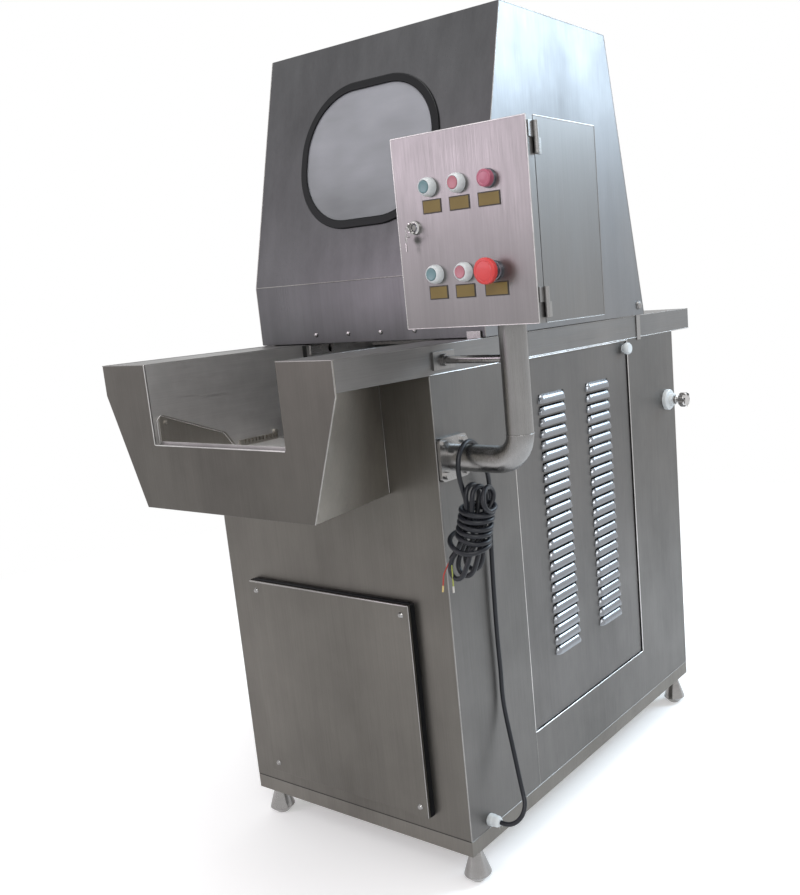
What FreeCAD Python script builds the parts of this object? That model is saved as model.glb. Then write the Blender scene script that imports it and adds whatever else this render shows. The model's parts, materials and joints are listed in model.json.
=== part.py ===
"""Meat brine injector: a free-standing machine of brushed stainless steel.

A rake carries meat through the channel between two rails, a head of needles stabs down into it
under a hinged hood, and a pump feeds brine from a tank in the cabinet to the needles.

The makers draw in a frame on the floor at the centre of the cabinet's footprint: +Z up, +X towards
the side with the louvred door and the control box, -Y towards the infeed trough. Millimetres. The
sub-parts are written in the row's frame, whose origin is under the middle of the whole outline.
"""
import FreeCAD, Part
import math
import os

V = FreeCAD.Vector
X, Y, Z = V(1, 0, 0), V(0, 1, 0), V(0, 0, 1)

# Driving dimensions of the whole machine
CABINET_W = 600.0          # across, X
CABINET_L = 964.0          # along, Y
FOOT_H = 71.0              # floor to the underside of the base frame
SKIRT_H = 32.0             # base frame height
FOOT_IN_X, FOOT_IN_Y = 22.0, 36.0
DECK_Z = 991.0             # underside of the two rails
RAIL_H = 51.0
CHANNEL_W = 346.0          # clear width of the meat channel
CHANNEL_FLOOR_Z = 860.0
INFEED_OVERHANG = 226.0    # trough in front of the cabinet
OUTFEED_OVERHANG = 104.0   # rails behind the cabinet
SHEET = 2.0                # cabinet sheet
RAIL_SHEET = 2.5
FRAME_SHEET = 4.0
SEAT_GAP = 0.3             # between parts of different bodies that almost touch
RUN = 0.05                 # radial clearance of a running fit

HALF_W = CABINET_W / 2
HALF_L = CABINET_L / 2
SKIRT_Z = FOOT_H + SKIRT_H
RAIL_Z = DECK_Z + RAIL_H
CHANNEL_HALF = CHANNEL_W / 2
RAIL_IN = CHANNEL_HALF + SHEET
FRONT_Y = -HALF_L - INFEED_OVERHANG
REAR_Y = HALF_L + OUTFEED_OVERHANG

# Infeed trough
SILL_Z = CHANNEL_FLOOR_Z + 36
TROUGH_BOTTOM_Z = CHANNEL_FLOOR_Z - 84
WING_BOTTOM_HALF = 222.0
WING_SHOULDER_Z = RAIL_Z - 56
TROUGH_REAR_HALF = 182.0
FRONT_PLATE_T = 3.0
LIP_GAP = 9.0              # from the front plate back to the inner lip
CHEEK_FRONT_H, CHEEK_REAR_H = 88.0, 34.0
CHEEK_L = 143.0
CHEEK_FOOT = 24.0
CHEEK_BOLT_D = 9.0

# Access panel on the front and louvred door on the side
ACCESS_X0, ACCESS_X1 = 74 - HALF_W, HALF_W - 87
ACCESS_Z0, ACCESS_Z1 = 139.0, 569.0
ACCESS_T = 7.0
GASKET_T, GASKET_W = 11.0, 16.0
ACCESS_SCREW_INSET = 20.0
DOOR_HALF_L = 241.5
DOOR_Z0, DOOR_Z1 = 223.0, 987.0
DOOR_GAP = 2.0
DOOR_RECESS = 4.0
DOOR_RETURN = 15.0
DOOR_PIN_D = 6.0
DOOR_PIN_IN = 5.5          # pivot behind the door's face
DOOR_PIN_EDGE = 6.0        # pivot behind the door's front edge
LOUVRE_ROWS, LOUVRE_PITCH = 24, 23.5
LOUVRE_L, LOUVRE_H, LOUVRE_OUT = 98.0, 17.0, 8.0
LOUVRE_TOP_Z = 912.0
LOUVRE_Y = (-93.0, 97.0)
LATCH_Y, LATCH_Z, LATCH_KNOB_D = 229.0, 971.0, 27.0

# Control box, its door and the arm that carries it
BOX_X0, BOX_W = HALF_W + 14, 260.0
BOX_Y0, BOX_D = -541.0, 199.0
BOX_Z0, BOX_H = 1075.0, 300.0
BOX_SHEET = 1.5
BOX_DOOR_T = 18.0
BOX_GAP = 1.0
BOX_HINGE_L, BOX_HINGE_D = 46.0, 8.0
BUTTON_X = (71.0, 128.0, 186.0)      # from the box's left side
BUTTON_Z = (219.0, 85.0)             # from the box's bottom
LABEL_DROP, LABEL_W, LABEL_H, LABEL_T = 29.5, 30.0, 21.0, 0.8
LABEL_SHIFT = 5.0
BEZEL_D, BEZEL_H, BUTTON_D, BUTTON_TRAVEL = 29.0, 10.0, 19.0, 3.0
STOP_HEAD_D, STOP_HEAD_H, STOP_NECK_D, STOP_OUT = 40.0, 16.0, 24.0, 40.0
STOP_TRAVEL = 5.0
LOCK_X, LOCK_Z, LOCK_D = 36.0, 160.0, 18.0
ARM_D, ARM_WALL, ARM_BEND_R = 48.0, 2.5, 48.0
ARM_X, ARM_Y, ARM_Z = BOX_X0 + 139.6, -441.0, 841.5
FLANGE, FLANGE_T, FLANGE_BOLT_PITCH, FLANGE_BOLT_D = 78.0, 8.0, 56.0, 8.0
STAY_D, STAY_Z = 14.0, 1015.0
STAY_PLATE_L, STAY_PLATE_H, STAY_PLATE_T = 60.0, 32.0, 4.0

# Hood
HOOD_HALF_W = HALF_W + 5
HOOD_FRONT_Y, HOOD_REAR_Y = -315.0, 327.0
HOOD_Z0, HOOD_BAND_Z, HOOD_TOP_Z = RAIL_Z + 2, RAIL_Z + 126, 1650.0
HOOD_TOP_FRONT_Y, HOOD_TOP_REAR_Y = -191.0, 201.0
HOOD_REAR_LIFT = 34.0      # rear wall ends this far above the side walls
HOOD_PIVOT_Y, HOOD_PIVOT_Z, HOOD_PIVOT_D = 300.0, RAIL_Z + 25, 10.0
PIVOT_HEAD_H = 6.0
STRAP_W, STRAP_T, STRAP_DROP = 18.0, 2.6, 56.0
WINDOW_W, WINDOW_H, WINDOW_R = 371.0, 300.0, 140.0
WINDOW_UP = 257.0          # its centre, up the slope from the band
RUBBER_W, RUBBER_T, GLASS_T = 17.0, 9.0, 4.0
BAND_SCREW_X = (-136.0, -43.0, 46.0, 135.0)

# Needle head
COLUMN_D, COLUMN_X = 32.0, 237.0
COLUMN_Z0, COLUMN_Z1 = 790.0, 1345.0
STROKE = 140.0
NEEDLE_D, NEEDLE_COLUMNS, NEEDLE_ROWS = 4.0, 12, 4
NEEDLE_PITCH_X, NEEDLE_PITCH_Y = 24.0, 36.0
NEEDLE_TIP_Z = 1016.0
MANIFOLD_W, MANIFOLD_L, MANIFOLD_H, MANIFOLD_Z = 310.0, 170.0, 56.0, 1196.0
BEAM_W, BEAM_L, BEAM_H, BEAM_Z = 540.0, 70.0, 50.0, 1290.0
STRIPPER_W, STRIPPER_L, STRIPPER_T, STRIPPER_Z = 322.0, 196.0, 12.0, 1010.0
STRIPPER_LIFT = 110.0
STRIPPER_ROD_D = 12.0

# Crank drive
CRANK_Z, CRANK_R, CRANK_DISC_D, CRANK_DISC_T, CRANK_DISC_X = 400.0, STROKE / 2, 200.0, 18.0, 205.0
SHAFT_D = 35.0
WRIST_D, ROD_T, ROD_EYE_D = 20.0, 16.0, 48.0
WRIST_Z = COLUMN_Z0 - 30.0
BEARING_X = 165.0

# Feed rake and grate
GRATE_Y0, GRATE_Y1 = -420.0, 430.0
GRATE_BAR_T, GRATE_BAR_H, GRATE_BARS = 8.0, 16.0, 8
RAKE_BAR_T, RAKE_TOOTH, RAKE_TOOTH_PITCH = 8.0, 7.0, 34.0
RAKE_TRAVEL = 42.0
GRATE_LEDGE = 4.0          # pan floor left beside the grate

# Brine circuit
TANK_X0, TANK_X1, TANK_Y0, TANK_Y1, TANK_H = -215.0, 205.0, -466.0, -200.0, 290.0
PIPE_D = 30.0
FEED_X, FEED_Y, FEED_D = 262.0, 125.0, 20.0
VALVE_X, VALVE_Y, VALVE_Z, VALVE_BLOCK = 262.0, 437.0, 823.0, 44.0
VALVE_DISC_D, VALVE_KNOB_D, VALVE_STEM_R = 52.0, 36.0, 6.0

# Cord
CORD_D = 9.0
GLAND_Y, GLAND_Z, GLAND_D, GLAND_L = -422.0, 120.5, 24.0, 26.0


def box(x0, x1, y0, y1, z0, z1):
    """Box between two corners."""
    return Part.makeBox(x1 - x0, y1 - y0, z1 - z0, V(x0, y0, z0))


def rod(start, direction, diameter, length):
    """Round bar from a start point along a direction."""
    return Part.makeCylinder(diameter / 2, length, start, direction)


def prism(points, direction):
    """Solid from a closed flat outline and the vector it is pushed along."""
    wire = Part.makePolygon(points + [points[0]])
    return Part.Face(wire).extrude(direction)


def fuse(shapes):
    """One solid of several touching or overlapping ones."""
    joined = shapes[0].fuse(shapes[1:]) if len(shapes) > 1 else shapes[0]
    return joined.removeSplitter()


def group(shapes):
    """Separate solids that share one node."""
    return Part.makeCompound(shapes)


def mirror_x(shape):
    """The same piece on the other side of the machine."""
    return shape.mirror(V(0, 0, 0), X)


def both_sides(shape):
    """A piece and its mirror image, kept apart."""
    return group([shape, mirror_x(shape)])


def revolve(profile, origin, axis, normal):
    """Turned piece: profile points are (radius, distance along the axis)."""
    points = [origin + normal * r + axis * a for r, a in profile]
    wire = Part.makePolygon(points + [points[0]])
    return Part.Face(wire).revolve(origin, axis, 360)


def rounded_outline(width, height, radius, centre, u, v):
    """Closed wire of a rectangle with round corners, in the plane of u and v."""
    a, b = width / 2, height / 2
    r = min(radius, a - 1, b - 1)
    k = r * (1 - math.sqrt(0.5))

    def at(p, q):
        return centre + u * p + v * q

    edges = []
    corners = ((1, 1), (-1, 1), (-1, -1), (1, -1))
    for i, (sx, sy) in enumerate(corners):
        first, last = at(sx * a, sy * (b - r)), at(sx * (a - r), sy * b)
        if sx * sy < 0:
            first, last = last, first
        edges.append(Part.Arc(first, at(sx * (a - k), sy * (b - k)), last).toShape())
        nx, ny = corners[(i + 1) % 4]
        start = at(nx * a, ny * (b - r)) if nx * ny > 0 else at(nx * (a - r), ny * b)
        if (start - last).Length > 1e-6:
            edges.append(Part.LineSegment(last, start).toShape())
    return Part.Wire(edges)


def folded_tray(x0, x1, y0, y1, z0, z1, sheet, open_side):
    """Sheet with returns on its four edges; open_side is the axis letter and sign it opens to."""
    outer = box(x0, x1, y0, y1, z0, z1)
    low, high = [x0 + sheet, y0 + sheet, z0 + sheet], [x1 - sheet, y1 - sheet, z1 - sheet]
    axis = "xyz".index(open_side[0])
    if open_side[1] == "+":
        high[axis] = (x1, y1, z1)[axis]
    else:
        low[axis] = (x0, y0, z0)[axis]
    return outer.cut(box(low[0], high[0], low[1], high[1], low[2], high[2]))


def route_tube(points, diameter):
    """Tube along straight runs joined by the largest tangent arcs, with its length and radii."""
    edges, radii, start = [], [], points[0]
    for before, corner, after in zip(points, points[1:], points[2:]):
        into, out = (corner - before), (after - corner)
        shorter = min(into.Length, out.Length)
        into.normalize()
        out.normalize()
        turn = math.acos(max(-1.0, min(1.0, into.dot(out))))
        reach = 0.45 * shorter
        radii.append(reach / math.tan(turn / 2))
        first, last = corner - into * reach, corner + out * reach
        bisector = (out - into)
        bisector.normalize()
        middle = corner + bisector * (radii[-1] / math.cos(turn / 2) - radii[-1])
        edges.append(Part.LineSegment(start, first).toShape())
        edges.append(Part.Arc(first, middle, last).toShape())
        start = last
    edges.append(Part.LineSegment(start, points[-1]).toShape())
    path = Part.Wire(edges)
    heading = points[1] - points[0]
    ring = Part.Wire([Part.makeCircle(diameter / 2, points[0], heading)])
    tube = path.makePipeShell([ring], True, False)
    return tube, path.Length, radii


def make_base():
    """Base frame with its floor pan, and the four levelling feet."""
    flange_w = 44.0
    floor_top = FOOT_H + FRAME_SHEET
    ring = box(-HALF_W, HALF_W, -HALF_L, HALF_L, FOOT_H, SKIRT_Z)
    ring = ring.cut(box(-HALF_W + FRAME_SHEET, HALF_W - FRAME_SHEET, -HALF_L + FRAME_SHEET,
                        HALF_L - FRAME_SHEET, floor_top, SKIRT_Z))
    stem_d = 16.0
    centres = [V(sx * (HALF_W - FOOT_IN_X), sy * (HALF_L - FOOT_IN_Y), 0)
               for sx in (-1, 1) for sy in (-1, 1)]
    for c in centres:
        ring = ring.cut(rod(c + Z * (FOOT_H - 1), Z, stem_d + 1, FRAME_SHEET + 2))
    drain = rod(V(0, 0, FOOT_H - 1), Z, 40, FRAME_SHEET + 2)
    ring = ring.cut(drain)
    cone = [(0, 0), (13, 0), (27.5, 15), (8.8, FOOT_H - 0.01), (stem_d / 2, FOOT_H - 0.01),
            (stem_d / 2, FOOT_H + 28), (0, FOOT_H + 28)]
    feet, nuts = [], []
    for c in centres:
        feet.append(revolve(cone, c, Z, X))
        nut = Part.Face(Part.makePolygon([c + V(13 * math.cos(a), 13 * math.sin(a), floor_top)
                        for a in [math.radians(60 * i) for i in range(7)]])).extrude(Z * 10)
        nuts.append(nut.cut(rod(c + Z * floor_top, Z, stem_d, 10)))
    return {"base_frame": ring, "levelling_feet": group(feet + nuts)}


def make_cabinet():
    """The four cabinet walls, each a folded sheet on the base frame."""
    y_in = HALF_L - SHEET
    mouth = 26.0
    front = box(-HALF_W, HALF_W, -HALF_L, -y_in, SKIRT_Z, DECK_Z)
    front = front.cut(box(ACCESS_X0 + mouth, ACCESS_X1 - mouth, -HALF_L - 1, -y_in + 1,
                          ACCESS_Z0 + mouth, ACCESS_Z1 - mouth))
    front = front.cut(box(-RAIL_IN, RAIL_IN, -HALF_L - 1, -y_in + 1,
                          CHANNEL_FLOOR_Z - SHEET, DECK_Z + 1))
    left = box(-HALF_W, -HALF_W + SHEET, -y_in, y_in, SKIRT_Z, DECK_Z)
    stiffener_w, stiffener_t = 24.0, SHEET
    for z in (340.0, 660.0):
        left = left.fuse(box(-HALF_W + SHEET, -HALF_W + SHEET + stiffener_w, -y_in + 40, y_in - 40,
                             z, z + stiffener_t))
    right = box(HALF_W - SHEET, HALF_W, -y_in, y_in, SKIRT_Z, DECK_Z)
    right = right.cut(box(HALF_W - SHEET - 1, HALF_W + 1, -DOOR_HALF_L - DOOR_GAP,
                          DOOR_HALF_L + DOOR_GAP, DOOR_Z0 - DOOR_GAP, DOOR_Z1 + DOOR_GAP))
    right = right.cut(rod(V(HALF_W - 5, ARM_Y, ARM_Z), X, ARM_D - 2 * ARM_WALL, 10))
    right = right.cut(rod(V(HALF_W - 5, GLAND_Y, GLAND_Z), X, 16, 10))
    right = right.cut(rod(V(HALF_W - 5, VALVE_Y, VALVE_Z), X, 26, 10))
    rear = box(-HALF_W, HALF_W, y_in, HALF_L, SKIRT_Z, DECK_Z)
    rear = rear.cut(box(-RAIL_IN, RAIL_IN, y_in - 1, HALF_L + 1, CHANNEL_FLOOR_Z - SHEET, DECK_Z + 1))
    return {"cabinet_front": front, "cabinet_left": left.removeSplitter(),
            "cabinet_right": right, "cabinet_rear": rear}


def make_access_panel():
    """Screwed panel over the front service opening, on its rubber gasket."""
    y_wall = -HALF_L
    y_back = y_wall - GASKET_T
    panel = folded_tray(ACCESS_X0, ACCESS_X1, y_back - ACCESS_T, y_back, ACCESS_Z0, ACCESS_Z1,
                        SHEET, "y+")
    lip = 0.5
    gasket = box(ACCESS_X0 - lip, ACCESS_X1 + lip, y_back, y_wall, ACCESS_Z0 - lip, ACCESS_Z1 + lip)
    gasket = gasket.cut(box(ACCESS_X0 + GASKET_W, ACCESS_X1 - GASKET_W, y_back - 1, y_wall + 1,
                            ACCESS_Z0 + GASKET_W, ACCESS_Z1 - GASKET_W))
    screw_d, head_d, head_h = 6.0, 12.0, 3.5
    screws = []
    for x in (ACCESS_X0 + ACCESS_SCREW_INSET, ACCESS_X1 - ACCESS_SCREW_INSET):
        for z in (ACCESS_Z0 + ACCESS_SCREW_INSET, ACCESS_Z1 - ACCESS_SCREW_INSET):
            face = V(x, y_back - ACCESS_T, z)
            shank = rod(face, Y, screw_d, ACCESS_T + GASKET_T + SHEET + 3)
            bore = rod(face - Y, Y, screw_d, ACCESS_T + GASKET_T + SHEET + 6)
            panel, gasket = panel.cut(bore), gasket.cut(bore)
            head = revolve([(0, 0), (head_d / 2, 0), (head_d / 2 - 2, head_h - 1), (0, head_h)],
                           face, V(0, -1, 0), X)
            screws.append(shank.fuse(head).removeSplitter())
    return {"front_access_panel": panel, "access_panel_gasket": gasket,
            "access_panel_screws": group(screws)}


def cut_screw_holes(front):
    """Clearance holes for the access panel's screws in the cabinet's front wall."""
    for x in (ACCESS_X0 + ACCESS_SCREW_INSET, ACCESS_X1 - ACCESS_SCREW_INSET):
        for z in (ACCESS_Z0 + ACCESS_SCREW_INSET, ACCESS_Z1 - ACCESS_SCREW_INSET):
            front = front.cut(rod(V(x, -HALF_L - 1, z), Y, 6.0, SHEET + 2))
    return front


def column_place(side):
    return V(side * COLUMN_X, 0, 0)


def make_rails():
    """The two deck rails: folded channels, closed at their ends, with a hole for each column."""
    bush_d = COLUMN_D + 14
    rail = box(RAIL_IN, HALF_W, FRONT_Y + FRONT_PLATE_T, REAR_Y, DECK_Z, RAIL_Z)
    rail = rail.cut(box(RAIL_IN + RAIL_SHEET, HALF_W - RAIL_SHEET, FRONT_Y + FRONT_PLATE_T + RAIL_SHEET,
                        REAR_Y - RAIL_SHEET, DECK_Z - 1, RAIL_Z - RAIL_SHEET))
    floor_lip = 14.0
    lip_in = box(RAIL_IN + RAIL_SHEET, RAIL_IN + floor_lip, HALF_L + 1, REAR_Y - RAIL_SHEET,
                 DECK_Z, DECK_Z + RAIL_SHEET)
    lip_out = box(HALF_W - floor_lip, HALF_W - RAIL_SHEET, HALF_L + 1, REAR_Y - RAIL_SHEET,
                  DECK_Z, DECK_Z + RAIL_SHEET)
    rail = fuse([rail, lip_in, lip_out])
    rail = rail.cut(rod(V(COLUMN_X, 0, RAIL_Z - 5), Z, bush_d, 10))
    left = mirror_x(rail)
    right = rail.cut(rod(V(FEED_X, FEED_Y, RAIL_Z - 5), Z, PIPE_D, 10))
    flange_d, flange_t = COLUMN_D + 34, 8.0
    profile = [(COLUMN_D / 2 + RUN, -34), (bush_d / 2, -34), (bush_d / 2, 0), (flange_d / 2, 0),
               (flange_d / 2, flange_t), (COLUMN_D / 2 + RUN, flange_t)]
    bushes = [revolve(profile, column_place(s) + Z * RAIL_Z, Z, X) for s in (-1, 1)]
    return {"rail_right": right, "rail_left": left, "column_bushes": group(bushes)}


def make_channel():
    """Meat channel: the pan with its grate opening, cheek plates, bolts and outfeed chute."""
    t = SHEET
    z0 = CHANNEL_FLOOR_Z - t
    y0, y1 = FRONT_Y + FRONT_PLATE_T + LIP_GAP, REAR_Y
    pan = box(-RAIL_IN, RAIL_IN, y0, HALF_L, z0, CHANNEL_FLOOR_Z)
    wall = box(CHANNEL_HALF, RAIL_IN, FRONT_Y + FRONT_PLATE_T, HALF_L, z0, RAIL_Z)
    rear_wall = box(CHANNEL_HALF, RAIL_IN, HALF_L, y1, DECK_Z, RAIL_Z)
    lip = box(-CHANNEL_HALF, CHANNEL_HALF, y0, y0 + t, z0, SILL_Z + 5)
    pan = fuse([pan, wall, mirror_x(wall), rear_wall, mirror_x(rear_wall), lip])
    pan = pan.cut(box(-CHANNEL_HALF + GRATE_LEDGE, CHANNEL_HALF - GRATE_LEDGE, GRATE_Y0, GRATE_Y1, z0 - 1,
                      CHANNEL_FLOOR_Z + 1))
    chute_drop, chute_l = 46.0, OUTFEED_OVERHANG - 4
    slope = [V(0, HALF_L, z0), V(0, HALF_L + chute_l, z0 - chute_drop),
             V(0, HALF_L + chute_l, z0 - chute_drop + t), V(0, HALF_L, z0 + t)]
    half = CHANNEL_HALF - 6
    floor = prism([p - X * half for p in slope], X * 2 * half)
    side = prism([V(half, HALF_L, z0), V(half, HALF_L + chute_l, z0 - chute_drop),
                  V(half, HALF_L + chute_l, z0 - chute_drop + 26), V(half, HALF_L, z0 + 60)], X * t)
    pan = fuse([pan, floor, side, mirror_x(side)])
    bottom, front = CHANNEL_FLOOR_Z, y0 + t + 1
    outline = [V(0, front, bottom), V(0, front, bottom + CHEEK_FRONT_H - 8),
               V(0, front + 3, bottom + CHEEK_FRONT_H - 2), V(0, front + 9, bottom + CHEEK_FRONT_H),
               V(0, front + CHEEK_L, bottom + CHEEK_REAR_H), V(0, front + CHEEK_L + CHEEK_FOOT, bottom)]
    cheek = prism([p + X * (CHANNEL_HALF - t) for p in outline], X * t)
    bolt_at = V(CHANNEL_HALF - t, front + 12, bottom + CHEEK_FRONT_H - 14)
    cheek = cheek.cut(rod(bolt_at - X, X, 6, t + 2))
    pan_bolt = rod(bolt_at - X, X, 6, t * 2 + 2)
    pan = pan.cut(pan_bolt).cut(mirror_x(pan_bolt))
    head = revolve([(0, 0), (CHEEK_BOLT_D / 2, 0), (CHEEK_BOLT_D / 2 - 1, 4), (0, 5)], bolt_at,
                   V(-1, 0, 0), Y)
    bolt = head.fuse(rod(bolt_at, X, 6, t * 2 + 3)).removeSplitter()
    rack_y0, rack_h, rack_t, notch = front + CHEEK_L + CHEEK_FOOT + 6, 12.0, 6.0, 9.0
    rack = box(CHANNEL_HALF - rack_t, CHANNEL_HALF, rack_y0, GRATE_Y0 - 4, bottom, bottom + rack_h)
    y = rack_y0 + notch
    while y < GRATE_Y0 - 8:
        rack = rack.cut(box(CHANNEL_HALF - rack_t - 1, CHANNEL_HALF - 2, y, y + notch / 2,
                            bottom + 4, bottom + rack_h + 1))
        y += notch
    stop = V(CHANNEL_HALF, GRATE_Y0 - 6, bottom + rack_h + 3)
    knob = revolve([(0, 0), (5, 0), (5, 5), (0, 6)], stop, V(-1, 0, 0), Y)
    pieces = [cheek, bolt, rack, knob]
    return {"channel_pan": pan, "infeed_cheeks": group(pieces + [mirror_x(p) for p in pieces])}


def make_trough():
    """Infeed trough: winged front plate and the skin that narrows back to the cabinet."""
    t = SHEET
    y_back = FRONT_Y + FRONT_PLATE_T
    outline = [V(CHANNEL_HALF, FRONT_Y, RAIL_Z), V(HALF_W, FRONT_Y, RAIL_Z),
               V(HALF_W, FRONT_Y, WING_SHOULDER_Z), V(WING_BOTTOM_HALF, FRONT_Y, TROUGH_BOTTOM_Z),
               V(-WING_BOTTOM_HALF, FRONT_Y, TROUGH_BOTTOM_Z), V(-HALF_W, FRONT_Y, WING_SHOULDER_Z),
               V(-HALF_W, FRONT_Y, RAIL_Z), V(-CHANNEL_HALF, FRONT_Y, RAIL_Z),
               V(-CHANNEL_HALF, FRONT_Y, SILL_Z), V(CHANNEL_HALF, FRONT_Y, SILL_Z)]
    plate = prism(outline, Y * FRONT_PLATE_T)

    def ring(y, top, bottom, inset):
        a, b = top - inset, bottom - inset
        return Part.makePolygon([V(-a, y, DECK_Z), V(a, y, DECK_Z), V(b, y, TROUGH_BOTTOM_Z + inset),
                                 V(-b, y, TROUGH_BOTTOM_Z + inset), V(-a, y, DECK_Z)])

    shoulder = HALF_W - 1
    outer = Part.makeLoft([ring(y_back, shoulder, WING_BOTTOM_HALF - 1, 0),
                           ring(-HALF_L, TROUGH_REAR_HALF, TROUGH_REAR_HALF, 0)], True, True)
    inner = Part.makeLoft([ring(y_back, shoulder, WING_BOTTOM_HALF - 1, t),
                           ring(-HALF_L, TROUGH_REAR_HALF, TROUGH_REAR_HALF, t)], True, True)
    skin = outer.cut(inner)
    return {"infeed_trough": plate.fuse(skin).removeSplitter()}


def make_feed():
    """Fixed grate in the channel floor and the toothed rake that slides between its bars."""
    frame_w = CHANNEL_W - 2 * GRATE_LEDGE - 2 * SEAT_GAP
    top = CHANNEL_FLOOR_Z
    y0, y1 = GRATE_Y0 + SEAT_GAP, GRATE_Y1 - SEAT_GAP
    end_t = 8.0
    pieces = [box(-frame_w / 2, frame_w / 2, y0, y0 + end_t, top - GRATE_BAR_H, top),
              box(-frame_w / 2, frame_w / 2, y1 - end_t, y1, top - GRATE_BAR_H, top)]
    pitch = frame_w / GRATE_BARS
    for i in range(GRATE_BARS + 1):
        x = -frame_w / 2 + i * pitch
        x = max(min(x, frame_w / 2 - GRATE_BAR_T / 2), -frame_w / 2 + GRATE_BAR_T / 2)
        pieces.append(box(x - GRATE_BAR_T / 2, x + GRATE_BAR_T / 2, y0 + end_t, y1 - end_t,
                          top - GRATE_BAR_H, top))
    grate = fuse(pieces)
    reach = 3.0
    bar_y0, bar_y1 = y0 + end_t + reach + RAKE_TRAVEL, y1 - end_t - reach - 12
    bar_top = top + 1.0
    bars = []
    count = int((bar_y1 - bar_y0) / RAKE_TOOTH_PITCH)
    for i in range(GRATE_BARS):
        x = -frame_w / 2 + (i + 0.5) * pitch - RAKE_BAR_T / 2
        outline = [V(x, bar_y1, top - GRATE_BAR_H - 12), V(x, bar_y0, top - GRATE_BAR_H - 12)]
        for k in range(count):
            y = bar_y0 + k * RAKE_TOOTH_PITCH
            outline.append(V(x, y, bar_top))
            outline.append(V(x, y + RAKE_TOOTH_PITCH - 2, bar_top + RAKE_TOOTH))
        outline.append(V(x, bar_y1, bar_top))
        bars.append(prism(outline, X * RAKE_BAR_T))
    tie_z = top - GRATE_BAR_H - 12
    half = frame_w / 2 - 6
    for y in (bar_y0 + 60, bar_y1 - 84):
        bars.append(box(-half, half, y, y + 24, tie_z - 12, tie_z))
    slide_d, slide_x = 16.0, 126.0
    lug_h = 30.0
    lugs = []
    for y in (bar_y0 + 60, bar_y1 - 84):
        for s in (-1, 1):
            lug = box(s * slide_x - 15, s * slide_x + 15, y, y + 24, tie_z - 12 - lug_h, tie_z - 12)
            bore = rod(V(s * slide_x, y - 1, tie_z - 12 - lug_h / 2), Y, slide_d + 2 * RUN, 26)
            lugs.append(lug.cut(bore))
    rake = fuse(bars + lugs)
    shafts, ends = [], []
    z = tie_z - 12 - lug_h / 2
    for s in (-1, 1):
        shafts.append(rod(V(s * slide_x, GRATE_Y0 + 6, z), Y, slide_d, GRATE_Y1 - GRATE_Y0 - 12))
    for y in (GRATE_Y0 + 6, GRATE_Y1 - 6 - 10):
        for s in (-1, 1):
            hanger = box(s * slide_x - 14, s * slide_x + 14, y, y + 10, z - 14, CHANNEL_FLOOR_Z - GRATE_BAR_H)
            ends.append(hanger.cut(rod(V(s * slide_x, y - 1, z), Y, slide_d, 12)))
    return {"feed_grate": grate, "feed_rake": rake, "rake_slide_shafts": group(shafts + ends)}


def make_catch_tray():
    """Sloped tray under the grate that returns spilt brine to the tank."""
    t = SHEET
    half = CHANNEL_HALF - 2
    y0, y1 = GRATE_Y0 - 10, GRATE_Y1 + 14
    top = CHANNEL_FLOOR_Z - SHEET
    z_front, z_rear = CHANNEL_FLOOR_Z - 118, CHANNEL_FLOOR_Z - 74
    outer = prism([V(-half, y0, z_front), V(-half, y1, z_rear), V(-half, y1, top), V(-half, y0, top)],
                  X * 2 * half)
    inner = prism([V(-half + t, y0 + t, z_front + t), V(-half + t, y1 - t, z_rear + t),
                   V(-half + t, y1 - t, top + 1), V(-half + t, y0 + t, top + 1)], X * 2 * (half - t))
    tray = outer.cut(inner)
    spout_at = V(0, -330, 0)
    spout_d, spout_end = 60.0, FOOT_H + FRAME_SHEET + TANK_H + 8
    tray = tray.cut(rod(spout_at + Z * (z_front - 10), Z, spout_d, 60))
    pipe = rod(spout_at + Z * spout_end, Z, spout_d, z_front + 12 - spout_end)
    pipe = pipe.cut(rod(spout_at + Z * (spout_end - 1), Z, spout_d - 2 * t, z_front + 20 - spout_end))
    return {"brine_catch_tray": fuse([tray, pipe])}


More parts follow.
